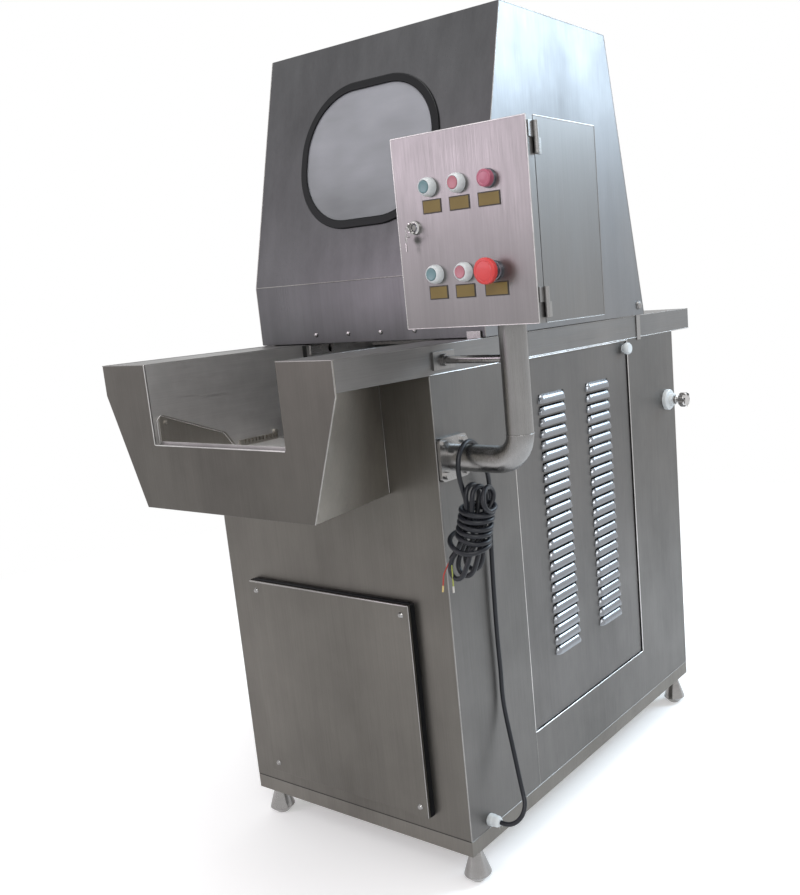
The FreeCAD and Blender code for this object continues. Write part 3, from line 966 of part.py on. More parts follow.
def valve_block():
    """Body of the pressure regulating valve, inside the wall at the rear of the louvred side."""
    b = VALVE_BLOCK / 2
    wall = HALF_W - SHEET
    block = box(VALVE_X - b, wall, VALVE_Y - b, VALVE_Y + b, VALVE_Z - b, VALVE_Z + b)
    neck = rod(V(wall, VALVE_Y, VALVE_Z), X, 25, SHEET)
    bore = rod(V(wall - 24, VALVE_Y, VALVE_Z), X, 2 * (VALVE_STEM_R + RUN), 30 + SHEET)
    return fuse([block, neck]).cut(bore)


def make_valve():
    """Disc and knob of the pressure regulating valve."""
    stem_r = VALVE_STEM_R
    at = V(HALF_W, VALVE_Y, VALVE_Z)
    disc = revolve([(stem_r + RUN, 0), (VALVE_DISC_D / 2, 0), (VALVE_DISC_D / 2, 9),
                    (VALVE_DISC_D / 2 - 3, 12), (17, 13), (15, 22), (stem_r + RUN, 22)], at, X, Z)
    knob_r = VALVE_KNOB_D / 2
    knob = revolve([(0, -20), (stem_r, -20), (stem_r, 22 + SEAT_GAP), (11, 22 + SEAT_GAP), (11, 30),
                    (8, 32), (8, 38), (knob_r - 2, 38), (knob_r, 41), (knob_r, 52), (knob_r - 3, 56),
                    (0, 56)], at, X, Z)
    for i in range(6):
        a = math.radians(60 * i)
        flute = at + Y * (knob_r + 4) * math.cos(a) + Z * (knob_r + 4) * math.sin(a)
        knob = knob.cut(rod(flute + X * 36, X, 14, 22))
    return {"valve_flange": disc, "valve_knob": knob}


def make_cord():
    """Mains lead: gland low on the side, up the wall, over the arm and into a tied hank."""
    at = V(HALF_W, GLAND_Y, GLAND_Z)
    r = GLAND_D / 2
    gland = revolve([(0, 0), (r, 0), (r, 10), (r - 1, 11), (r - 1, 20), (r - 5, GLAND_L), (0, GLAND_L)],
                    at, X, Z)
    route = [at + X * GLAND_L, V(338.5, -422, 119), V(350.5, -419, 121.4), V(360.3, -413.5, 127.2),
             V(366.2, -406.3, 135.7), V(367.4, -398.5, 145.5), V(365.3, -391.8, 156),
             V(360, -386.8, 166.2), V(351, -381, 187), V(341, -375, 218), V(329, -368, 256),
             V(316, -362, 302), V(308.7, -361, 350), V(309.5, -360, 405), V(308.7, -361, 460),
             V(309.5, -362, 515), V(308.7, -360, 570), V(309.5, -359, 625), V(310, -357, 680),
             V(313, -355, 730), V(318, -358, 772), V(326, -373, 808), V(335, -399, 843),
             V(341, -424, 868.5), V(345, -453, 874), V(347, -478, 857), V(349, -487, 829),
             V(352, -485, 802), V(354.5, -478, 775)]
    tube, length, radii = route_tube(route, CORD_D)
    section = math.pi * CORD_D ** 2 / 4
    print("cord tube %.1f mm long, volume over section times length %.4f"
          % (length, tube.Volume / (section * length)))
    print("cord arc radii " + " ".join("%.0f" % radius for radius in radii))
    heads, middle, feet = V(375, -466, 803), V(369.5, -481, 731), V(338, -497, 636)
    rings = []
    for share, side, wide, deep in ((0.0, 4, 15, 10), (0.06, 3, 25, 19), (0.2, 1, 31, 28), (0.3, 0, 33, 31),
                                    (0.55, 0, 33, 31), (0.66, -4, 37, 30), (0.78, -1, 33, 26),
                                    (0.88, 0, 27, 24), (0.97, 0, 20, 16), (1.0, 0, 12, 10)):
        centre = heads * ((1 - share) * (1 - 2 * share)) + middle * (4 * share * (1 - share))
        centre = centre + feet * (share * (2 * share - 1)) + X * side
        rings.append(rounded_outline(2 * wide, 2 * deep, 0.8 * deep, centre, X, V(0, -0.97, -0.24)))
    hank = Part.makeLoft(rings, True, False).cut(tube)
    gland = gland.cut(tube)
    wire_d, wires = 3.0, []
    for root, end in ((V(329, -505, 661), V(321, -521, 628)), (V(334, -506, 658), V(343, -520, 629))):
        wires.append(pipe_along(Part.Wire([Part.makeLine(root, end)]), wire_d).cut(hank))
        tip = end - root
        tip.normalize()
        wires.append(rod(end, tip, wire_d + 1, 9))
    return {"cord_gland": gland, "power_cord": tube, "cord_hank": hank, "cord_end_wires": group(wires)}


MAKERS = (make_base, make_cabinet, make_access_panel, make_rails, make_channel, make_trough, make_feed,
          make_catch_tray, make_tank, make_drive, make_head, make_hood, make_side_door, make_arm,
          make_control_box, make_valve, make_cord)

# The row's origin is on the floor under the middle of the whole machine's outline
ORIGIN = V((BOX_X0 + BOX_W + BOX_HINGE_D + 0.5 - HOOD_HALF_W - PIVOT_HEAD_H - SEAT_GAP) / 2,
           (FRONT_Y + REAR_Y) / 2, 0)


def build():
    """Every sub-part in the row's frame, by node name."""
    model = {}
    for make in MAKERS:
        model.update(make())
    model["cabinet_front"] = cut_screw_holes(model["cabinet_front"])
    return {name: shape.translated(ORIGIN * -1) for name, shape in model.items()}


if __name__ == "__main__":
    os.makedirs("parts", exist_ok=True)
    model = build()
    for name, shape in model.items():
        shape.exportStep("parts/%s.step" % name)
    print("%d sub-parts, origin %.1f %.1f from the cabinet's centre" % (len(model), ORIGIN.x, ORIGIN.y))
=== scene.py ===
"""Looks of a meat brine injector: brushed sheet steel, window, control panel and mains lead.

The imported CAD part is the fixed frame. Each sub-assembly is a class that models what the frame
leaves plain and dresses it. All sizes are metres in the row's frame.
"""
from __future__ import annotations

import json
import logging
import math
from contextlib import contextmanager
from dataclasses import dataclass, field
from enum import Enum
from itertools import product
from typing import Iterator, Sequence

import bmesh
import bpy
from mathutils import Matrix, Vector

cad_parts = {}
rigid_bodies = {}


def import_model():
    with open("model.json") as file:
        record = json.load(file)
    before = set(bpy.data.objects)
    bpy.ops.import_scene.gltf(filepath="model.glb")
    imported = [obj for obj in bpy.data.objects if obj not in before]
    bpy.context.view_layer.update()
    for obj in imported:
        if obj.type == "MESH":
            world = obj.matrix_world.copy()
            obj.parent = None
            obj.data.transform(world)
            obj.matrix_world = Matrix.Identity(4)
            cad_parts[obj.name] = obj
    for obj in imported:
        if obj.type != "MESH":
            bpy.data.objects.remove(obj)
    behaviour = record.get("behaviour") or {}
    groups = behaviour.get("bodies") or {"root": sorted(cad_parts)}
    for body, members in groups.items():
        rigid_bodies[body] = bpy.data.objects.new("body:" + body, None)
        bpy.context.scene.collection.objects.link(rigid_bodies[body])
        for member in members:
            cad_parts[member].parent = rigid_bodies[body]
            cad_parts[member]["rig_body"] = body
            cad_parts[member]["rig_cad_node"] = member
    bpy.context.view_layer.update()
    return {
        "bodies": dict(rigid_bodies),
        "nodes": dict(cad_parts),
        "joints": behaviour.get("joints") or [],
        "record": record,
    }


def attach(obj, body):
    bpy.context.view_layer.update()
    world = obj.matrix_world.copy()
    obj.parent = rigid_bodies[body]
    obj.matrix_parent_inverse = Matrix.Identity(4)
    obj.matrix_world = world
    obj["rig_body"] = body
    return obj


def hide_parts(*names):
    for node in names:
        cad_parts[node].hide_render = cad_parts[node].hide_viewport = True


LOG = logging.getLogger("injector")
MM = 0.001
ORIGIN = Vector((0.1356, -0.061, 0.0))
SHARP = math.radians(35)
MERGE = 0.000005
NEARLY_FLAT = math.radians(0.6)
UP = Vector((0, 0, 1))
OUT = Vector((0, -1, 0))
SMOOTH = 38.0

Point = tuple[float, float, float]
Pair = tuple[float, float]
Pairs = tuple[Pair, ...]
Piece = bpy.types.Object
Socket = bpy.types.NodeSocket


def place(x: float, y: float, z: float) -> Vector:
    """Point in the row's frame from millimetres about the cabinet's centre."""
    return Vector((x * MM, y * MM, z * MM)) - ORIGIN


class Grain(Enum):
    """Direction in which a sheet was brushed."""

    ALONG = (1.0, 0.012, 1.0)
    UPRIGHT = (1.0, 1.0, 0.012)
    FLAT = (0.05, 0.05, 1.0)
    NONE = (1.0, 1.0, 1.0)


class Graph:
    """Short hand for building a tree of shader nodes."""

    def __init__(self, tree: bpy.types.NodeTree) -> None:
        """Takes the tree that it adds to."""
        self.tree = tree

    def add(self, kind: str, **settings: object) -> bpy.types.Node:
        """Adds a shader node and sets its properties."""
        node = self.tree.nodes.new("ShaderNode" + kind)
        for key, value in settings.items():
            setattr(node, key, value)
        return node

    def feed(self, node: bpy.types.Node, *sources: Socket, **inputs: object) -> bpy.types.Node:
        """Feeds a node's inputs, in order or by name with an underscore for a space."""
        for source, target in zip(sources, node.inputs):
            self.tree.links.new(source, target)
        for key, value in inputs.items():
            target = node.inputs[key.replace("_", " ")]
            if isinstance(value, Socket):
                self.tree.links.new(value, target)
            else:
                target.default_value = value
        return node

    def ranged(self, value: Socket, low: float, high: float, source: Pair = (0.3, 0.7)) -> Socket:
        """Maps a value from one range to another."""
        node = self.feed(self.add("MapRange"), Value=value, From_Min=source[0], From_Max=source[1],
                         To_Min=low, To_Max=high)
        return node.outputs["Result"]

    def sum(self, *values: Socket) -> Socket:
        """Sum of two values."""
        return self.feed(self.add("Math", operation="ADD"), *values).outputs[0]

    def blend(self, factor: Socket, *shaders: Socket) -> Socket:
        """Mixes two shaders by a factor."""
        return self.feed(self.add("MixShader"), factor, *shaders).outputs[0]

    def mixed(self, factor: Socket, *colours: Sequence[float]) -> Socket:
        """Mixes two colours by a factor."""
        node = self.feed(self.add("Mix", data_type="RGBA"), factor)
        for index, colour in enumerate(colours, 6):
            node.inputs[index].default_value = (*colour, 1.0)
        return node.outputs[2]


class Nodes(Graph):
    """The graph of one material."""

    def __init__(self, name: str) -> None:
        """Starts a material with its output and shader."""
        self.material = bpy.data.materials.new(name)
        self.material.use_nodes = True
        super().__init__(self.material.node_tree)
        self.shader = self.tree.nodes["Principled BSDF"]
        self.coords = self.add("TexCoord")

    def noise(self, scale: Sequence[float], detail: float) -> Socket:
        """Noise on stretched object coordinates."""
        spots = self.feed(self.add("Mapping"), Vector=self.coords.outputs["Object"], Scale=scale)
        noise = self.feed(self.add("TexNoise"), Vector=spots.outputs["Vector"], Scale=1.0, Detail=detail,
                          Roughness=0.6)
        return noise.outputs["Fac"]

    def relief(self, height: Socket, strength: float, depth: float) -> None:
        """Bump from a height."""
        bump = self.feed(self.add("Bump"), Height=height, Strength=strength, Distance=depth)
        self.feed(self.shader, Normal=bump.outputs["Normal"])


@dataclass(frozen=True)
class Steel:
    """Stainless sheet: brush lines along the grain, streaks, cloudy handling marks and a soft sheen."""

    name: str
    tone: float = 0.16
    tint: Point = (1.02, 1.0, 0.985)
    roughness: Pair = (0.34, 0.5)
    grain: Grain = Grain.UPRIGHT
    lines: float = 420.0
    clouds: float = 0.26
    streaks: float = 0.09
    relief: float = 0.05

    def material(self) -> bpy.types.Material:
        """Builds the finish."""
        nodes = Nodes(self.name)
        lines = nodes.noise([self.lines * f for f in self.grain.value], 3.0)
        fine = nodes.noise([2.6 * self.lines * f for f in self.grain.value], 2.0)
        streaks = nodes.noise([26.0 * max(f, 0.05) for f in self.grain.value], 4.0)
        clouds = nodes.noise((4.3, 4.3, 3.2), 5.0)
        tone = nodes.sum(nodes.ranged(lines, -0.04, 0.04),
                         nodes.ranged(clouds, 0.5 - self.clouds / 2, 0.5 + self.clouds / 2))
        tone = nodes.sum(tone, nodes.ranged(streaks, -self.streaks / 2, self.streaks / 2))
        dark = [c * self.tone * 0.5 for c in self.tint]
        light = [c * self.tone * 1.5 for c in self.tint]
        rough = nodes.sum(nodes.ranged(fine, *self.roughness), nodes.ranged(clouds, 0.05, -0.05))
        nodes.feed(nodes.shader, Metallic=1.0, Base_Color=nodes.mixed(tone, dark, light), Roughness=rough)
        nodes.relief(nodes.sum(lines, fine), self.relief, 0.0002)
        return nodes.material


@dataclass(frozen=True)
class Plain:
    """Moulded plastic, rubber or paint with a fine surface and slight unevenness of tone."""

    name: str
    colour: Point
    roughness: Pair = (0.25, 0.4)
    metallic: float = 0.0
    pebble: float = 900.0
    depth: float = 0.0001
    coat: float = 0.0
    shine: float = 0.5

    def material(self) -> bpy.types.Material:
        """Builds the finish."""
        nodes = Nodes(self.name)
        cloud = nodes.noise((14, 14, 14), 3.0)
        dark = [c * 0.86 for c in self.colour]
        light = [min(1.0, c * 1.1) for c in self.colour]
        grit = nodes.noise((self.pebble,) * 3, 2.0)
        nodes.feed(nodes.shader, Metallic=self.metallic, Coat_Weight=self.coat,
                   Specular_IOR_Level=self.shine, Base_Color=nodes.mixed(cloud, dark, light),
                   Roughness=nodes.ranged(grit, *self.roughness))
        nodes.relief(grit, 0.25, self.depth)
        return nodes.material


@dataclass(frozen=True)
class Glazing:
    """Window sheet, greyed by wiping marks and dried spray, and paler towards the top as a painted
    reflection.
    """

    name: str = "window_sheet"
    clear: Point = (0.14, 0.147, 0.155)
    pale_haze_and_reflection: Point = (0.44, 0.45, 0.49)
    span: Pair = (1.22, 1.56)

    def material(self) -> bpy.types.Material:
        """Builds the finish; it grows paler towards the top, a painted reflection."""
        nodes = Nodes(self.name)
        apart = nodes.feed(nodes.add("SeparateXYZ"), nodes.coords.outputs["Object"])
        painted_reflection = nodes.ranged(apart.outputs["Z"], 0.14, 0.84, self.span)
        haze = nodes.noise((2.6, 2.6, 3.4), 3.0)
        wipes = nodes.noise((9, 9, 34), 3.0)
        veil = nodes.sum(painted_reflection, nodes.ranged(haze, -0.36, 0.3))
        veil = nodes.sum(veil, nodes.ranged(wipes, -0.05, 0.05))
        nodes.feed(nodes.shader, Transmission_Weight=0.3, IOR=1.5, Coat_Weight=0.35,
                   Base_Color=nodes.mixed(veil, self.clear, self.pale_haze_and_reflection),
                   Roughness=nodes.ranged(wipes, 0.08, 0.2))
        return nodes.material


@contextmanager
def editing() -> Iterator[None]:
    """Edit mode on the active piece with everything selected, and object mode afterwards."""
    bpy.ops.object.mode_set(mode="EDIT")
    bpy.ops.mesh.select_all(action="SELECT")
    yield
    bpy.ops.object.mode_set(mode="OBJECT")


def deselect() -> None:
    """Deselects everything."""
    bpy.ops.object.select_all(action="DESELECT")


def take(obj: Piece) -> None:
    """Selects one object alone and makes it active."""
    deselect()
    obj.select_set(True)
    bpy.context.view_layer.objects.active = obj


def made(name: str) -> Piece:
    """The piece that an operator has just made, under its own name."""
    obj = bpy.context.view_layer.objects.active
    obj.name = name
    return obj


def settle(obj: Piece, finish: bpy.types.Material, body: str) -> None:
    """Applies the object's place, dresses it and rides it on a body."""
    take(obj)
    bpy.ops.object.transform_apply()
    obj.data.materials.clear()
    obj.data.materials.append(finish)
    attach(obj, body)


def smooth(obj: Piece, angle: float = 40.0) -> None:
    """Smooth shading below an angle, with flat faces kept flat."""
    take(obj)
    bpy.ops.object.shade_smooth_by_angle(angle=math.radians(angle))
    obj.modifiers.new("flats", "WEIGHTED_NORMAL").keep_sharp = True
    bpy.ops.object.modifier_apply(modifier="flats")


def ease_edges(obj: Piece, width: float, least: float = 0.0, segments: int = 1) -> None:
    """Breaks the sharp edges of a piece that are longer than a given length.

    Args:
        obj: the piece.
        width: width of the break, in metres.
        least: shortest edge that is broken, in metres.
        segments: faces across the break.
    """
    take(obj)
    with editing():
        bpy.ops.mesh.select_mode(type="EDGE")
        bpy.ops.mesh.select_all(action="DESELECT")
        mesh = bmesh.from_edit_mesh(obj.data)
        for edge in mesh.edges:
            sharp = len(edge.link_faces) == 2 and edge.calc_face_angle(0.0) > SHARP
            edge.select_set(sharp and edge.calc_length() > least)
        bmesh.update_edit_mesh(obj.data)
        if any(edge.select for edge in mesh.edges):
            bpy.ops.mesh.bevel(offset=width, segments=segments, affect="EDGES", clamp_overlap=False)
        bpy.ops.mesh.select_mode(type="VERT")


def copy_of(node: Piece, name: str) -> Piece:
    """A merged copy of a CAD node's mesh, as a new object."""
    take(node)
    bpy.ops.object.duplicate()
    copy = made(name)
    copy.data.name = name
    copy.parent = None
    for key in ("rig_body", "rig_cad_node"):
        if key in copy:
            del copy[key]
    take(copy)
    with editing():
        bpy.ops.mesh.remove_doubles(threshold=MERGE)
        bpy.ops.mesh.customdata_custom_splitnormals_clear()
        bpy.ops.mesh.dissolve_limited(angle_limit=NEARLY_FLAT)
    return copy


def stand(obj: Piece, spot: Vector, axis: Vector) -> None:
    """Puts an upright piece at a place, with its Z along an axis."""
    turn = UP.rotation_difference(axis)
    obj.matrix_world = Matrix.Translation(spot) @ turn.to_matrix().to_4x4()


def turned(name: str, profile: Pairs, start: Vector, axis: Vector, sides: int) -> Piece:
    """A turned piece, drawn out ring by ring from a disc.

    Args:
        name: name of the piece.
        profile: radius and distance along the axis of each ring, in millimetres.
        start: where the axis starts.
        axis: direction of the axis.
        sides: faces round the axis.

    Returns:
        The piece, closed at both ends.
    """
    deselect()
    radius, level = profile[0]
    bpy.ops.mesh.primitive_circle_add(vertices=sides, radius=radius * MM, fill_type="NGON",
                                      location=(0, 0, level * MM))
    obj = made(name)
    bpy.ops.object.transform_apply(location=True, rotation=False, scale=False)
    with editing():
        for next_radius, next_level in profile[1:]:
            step = (0.0, 0.0, (next_level - level) * MM)
            bpy.ops.mesh.extrude_region_move(TRANSFORM_OT_translate={"value": step})
            grow = next_radius / radius
            bpy.ops.transform.resize(value=(grow, grow, 1.0), center_override=(0.0, 0.0, next_level * MM))
            radius, level = next_radius, next_level
        bpy.ops.mesh.select_all(action="SELECT")
        bpy.ops.mesh.normals_make_consistent(inside=False)
    stand(obj, start, axis)
    return obj


def slab(name: str, low: Vector, high: Vector) -> Piece:
    """A block between two corners."""
    deselect()
    bpy.ops.mesh.primitive_cube_add(size=1.0, location=(low + high) / 2)
    obj = made(name)
    obj.scale = high - low
    bpy.ops.object.transform_apply(location=False, rotation=False, scale=True)
    return obj


def joined(pieces: Sequence[Piece], name: str) -> Piece:
    """Several meshes as one piece."""
    deselect()
    for piece in pieces:
        piece.select_set(True)
    bpy.context.view_layer.objects.active = pieces[0]
    bpy.ops.object.join()
    pieces[0].name = name
    return pieces[0]


def rod(name: str, start: Vector, end: Vector, radius: float) -> Piece:
    """A thin rod with rounded ends."""
    length = (end - start).length / MM
    profile = ((0.35 * radius, 0.0), (0.8 * radius, 0.35 * radius), (radius, radius),
               (radius, length - radius), (0.8 * radius, length - 0.35 * radius),
               (0.35 * radius, length))
    return turned(name, profile, start, (end - start).normalized(), 10)


def ring(name: str, centre: Vector, axis: Vector, radius: float, wire: float) -> Piece:
    """A ring of round wire."""
    deselect()
    bpy.ops.mesh.primitive_torus_add(major_segments=40, minor_segments=10, major_radius=radius * MM,
                                     minor_radius=wire * MM)
    obj = made(name)
    stand(obj, centre, axis)
    take(obj)
    bpy.ops.object.transform_apply()
    return obj


def tube(name: str, points: Sequence[Vector], radius: float, steps: int, facets: int) -> Piece:
    """A round tube along a smooth curve.

    Args:
        name: name of the tube.
        points: its control points, in millimetres about the cabinet's centre.
        radius: its radius, in millimetres.
        steps: steps between two control points.
        facets: fineness round the tube.

    Returns:
        The tube, still a curve.
    """
    deselect()
    curve = bpy.data.curves.new(name, "CURVE")
    curve.dimensions = "3D"
    spline = curve.splines.new("NURBS")
    spline.points.add(len(points) - 1)
    for knot, point in zip(spline.points, points):
        knot.co = (*place(*point), 1.0)
    spline.order_u = 3
    spline.use_endpoint_u = True
    spline.resolution_u = steps
    curve.bevel_depth = radius * MM
    curve.bevel_resolution = facets
    curve.use_fill_caps = True
    obj = bpy.data.objects.new(name, curve)
    bpy.context.scene.collection.objects.link(obj)
    return obj


class Palette:
    """Every finish of the machine, built once."""

    def __init__(self) -> None:
        """Builds the materials."""
        pale = (0.99, 1.0, 1.03)
        warm = (1.06, 1.0, 0.91)
        finishes: tuple[Steel | Plain | Glazing, ...] = (
            Steel("cabinet_sheet", tone=0.128, tint=warm),
            Steel("panel_sheet", tone=0.125, tint=warm),
            Steel("skirt_sheet", tone=0.165, tint=warm),
            Steel("side_sheet", tone=0.138, tint=(1.03, 1.0, 0.97)),
            Steel("door_sheet", tone=0.142, tint=(1.03, 1.0, 0.98)),
            Steel("hood_sheet", tone=0.094, tint=pale, clouds=0.34, streaks=0.2, roughness=(0.3, 0.42)),
            # Paler copy of the hood's steel for its side faces: painted sheen of light off the sides.
            Steel("hood_side", tone=0.2, tint=pale, clouds=0.2, roughness=(0.34, 0.46)),
            Steel("trough_sheet", tone=0.1, tint=warm, clouds=0.34),
            # Far paler copy of the trough's steel, with strong clouds and streaks, for its inner faces:
            # painted light inside the trough.
            Steel("trough_inside", tone=0.42, tint=(1.02, 1.0, 0.98), clouds=0.5, streaks=0.2),
            # Paler copy of the trough's steel for its outer slanted side: painted light on that side.
            Steel("trough_side", tone=0.38, tint=warm, clouds=0.4),
            Steel("cheek_sheet", tone=0.3, tint=warm, clouds=0.4),
            Steel("rail_sheet", tone=0.19, grain=Grain.ALONG),
            Steel("box_sheet", tone=0.19, roughness=(0.3, 0.42), clouds=0.12),
            Steel("channel_sheet", tone=0.5, grain=Grain.ALONG, roughness=(0.42, 0.58), clouds=0.5),
            Steel("pipe_steel", tone=0.24, roughness=(0.25, 0.34), clouds=0.4),
            # Louvres are pressed from the door's sheet but finished paler and bluer than it: painted sheen
            # of light off the louvres.
            Steel("louvre_sheet", tone=0.27, tint=(0.96, 1.0, 1.07), roughness=(0.2, 0.27), clouds=0.1,
                  streaks=0.0, relief=0.02),
            Steel("machined_steel", tone=0.3, roughness=(0.24, 0.34), grain=Grain.NONE, relief=0.02),
            Steel("screw_steel", tone=0.26, roughness=(0.2, 0.3), grain=Grain.NONE, relief=0.02),
            Steel("turned_foot", tone=0.3, tint=(1.03, 1.0, 0.98), roughness=(0.12, 0.2),
                  grain=Grain.FLAT, relief=0.02),
            Steel("ground_rod", tone=0.5, roughness=(0.12, 0.2), grain=Grain.NONE, relief=0.01),
            # Pale steels for the edge rods, two to four times as light as the sheets: painted highlights
            # along the edges; the guide plate also takes the palest.
            Steel("polished_edge", tone=0.5, roughness=(0.2, 0.3), grain=Grain.NONE, relief=0.01,
                  clouds=0.4, streaks=0.3),
            Steel("edge_line", tone=0.26, tint=(1.03, 1.0, 0.97), roughness=(0.25, 0.35), grain=Grain.NONE,
                  relief=0.01, clouds=0.5, streaks=0.3),
            Plain("edge_rubber", (0.005, 0.0055, 0.0065), (0.36, 0.46), depth=0.0001, shine=0.18),
            Plain("lead_rubber", (0.008, 0.009, 0.013), (0.34, 0.44), pebble=1500.0, shine=0.35),
            Plain("white_moulding", (0.66, 0.69, 0.70), (0.3, 0.4)),
            Plain("green_cap", (0.145, 0.25, 0.27), (0.3, 0.4)),
            Plain("red_cap", (0.44, 0.165, 0.2), (0.3, 0.4)),
            Plain("red_lens", (0.42, 0.10, 0.16), (0.3, 0.4), coat=0.2),
            Plain("stop_red", (0.62, 0.045, 0.045), (0.32, 0.42), coat=0.1),
            Plain("collar_metal", (0.22, 0.22, 0.25), (0.24, 0.34), metallic=1.0),
            Plain("brass_plate", (0.2, 0.145, 0.05), (0.4, 0.5), pebble=500.0, shine=0.22),
            Plain("label_border", (0.026, 0.02, 0.012), (0.4, 0.55)),
            Plain("bush_bronze", (0.45, 0.27, 0.13), (0.25, 0.4), metallic=1.0),
            Plain("drive_paint", (0.1, 0.14, 0.18), (0.3, 0.42)),
            Plain("zinc_bracket", (0.55, 0.55, 0.53), (0.3, 0.45), metallic=1.0),
            Plain("gear_plastic", (0.07, 0.075, 0.08), (0.35, 0.5)),
            Plain("wire_red", (0.36, 0.03, 0.02), (0.35, 0.45)),
            Plain("wire_yellow_green", (0.30, 0.33, 0.06), (0.35, 0.45)),
            Plain("ferrule_yellow", (0.55, 0.42, 0.16), (0.3, 0.4)),
            Plain("ferrule_pale", (0.52, 0.5, 0.46), (0.3, 0.4)),
            Plain("slot_dark", (0.01, 0.01, 0.01), (0.6, 0.8)),
            Glazing(),
        )
        self.made = {finish.name: finish.material() for finish in finishes}

    def __getitem__(self, name: str) -> bpy.types.Material:
        """The material of that name."""
        return self.made[name]


@dataclass
class Maker:
    """What every maker of pieces needs: the finishes, and one way to dress a piece."""

    palette: Palette

    def dress(self, piece: Piece, finish: str, slot: str, body: str = "machine", angle: float = 40.0,
              node: str = "") -> None:
        """Dresses and smooths a piece, rides it on its body and lets it stand for a CAD node."""
        settle(piece, self.palette[finish], body)
        smooth(piece, angle)
        if node:
            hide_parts(node)


@dataclass(frozen=True)
class Facing:
    """Faces of some sheets with another finish: the way they face and the box that they lie in."""

    nodes: str
    finish: str
    normal: Point
    low: Point
    high: Point
    least: float = 0.9

    def holds(self, face: bpy.types.MeshPolygon) -> bool:
        """Whether a face is one of these."""
        if Vector(self.normal).normalized().dot(face.normal) < self.least:
            return False
        low, high = place(*self.low), place(*self.high)
        return all(low[i] <= face.center[i] <= high[i] for i in range(3))


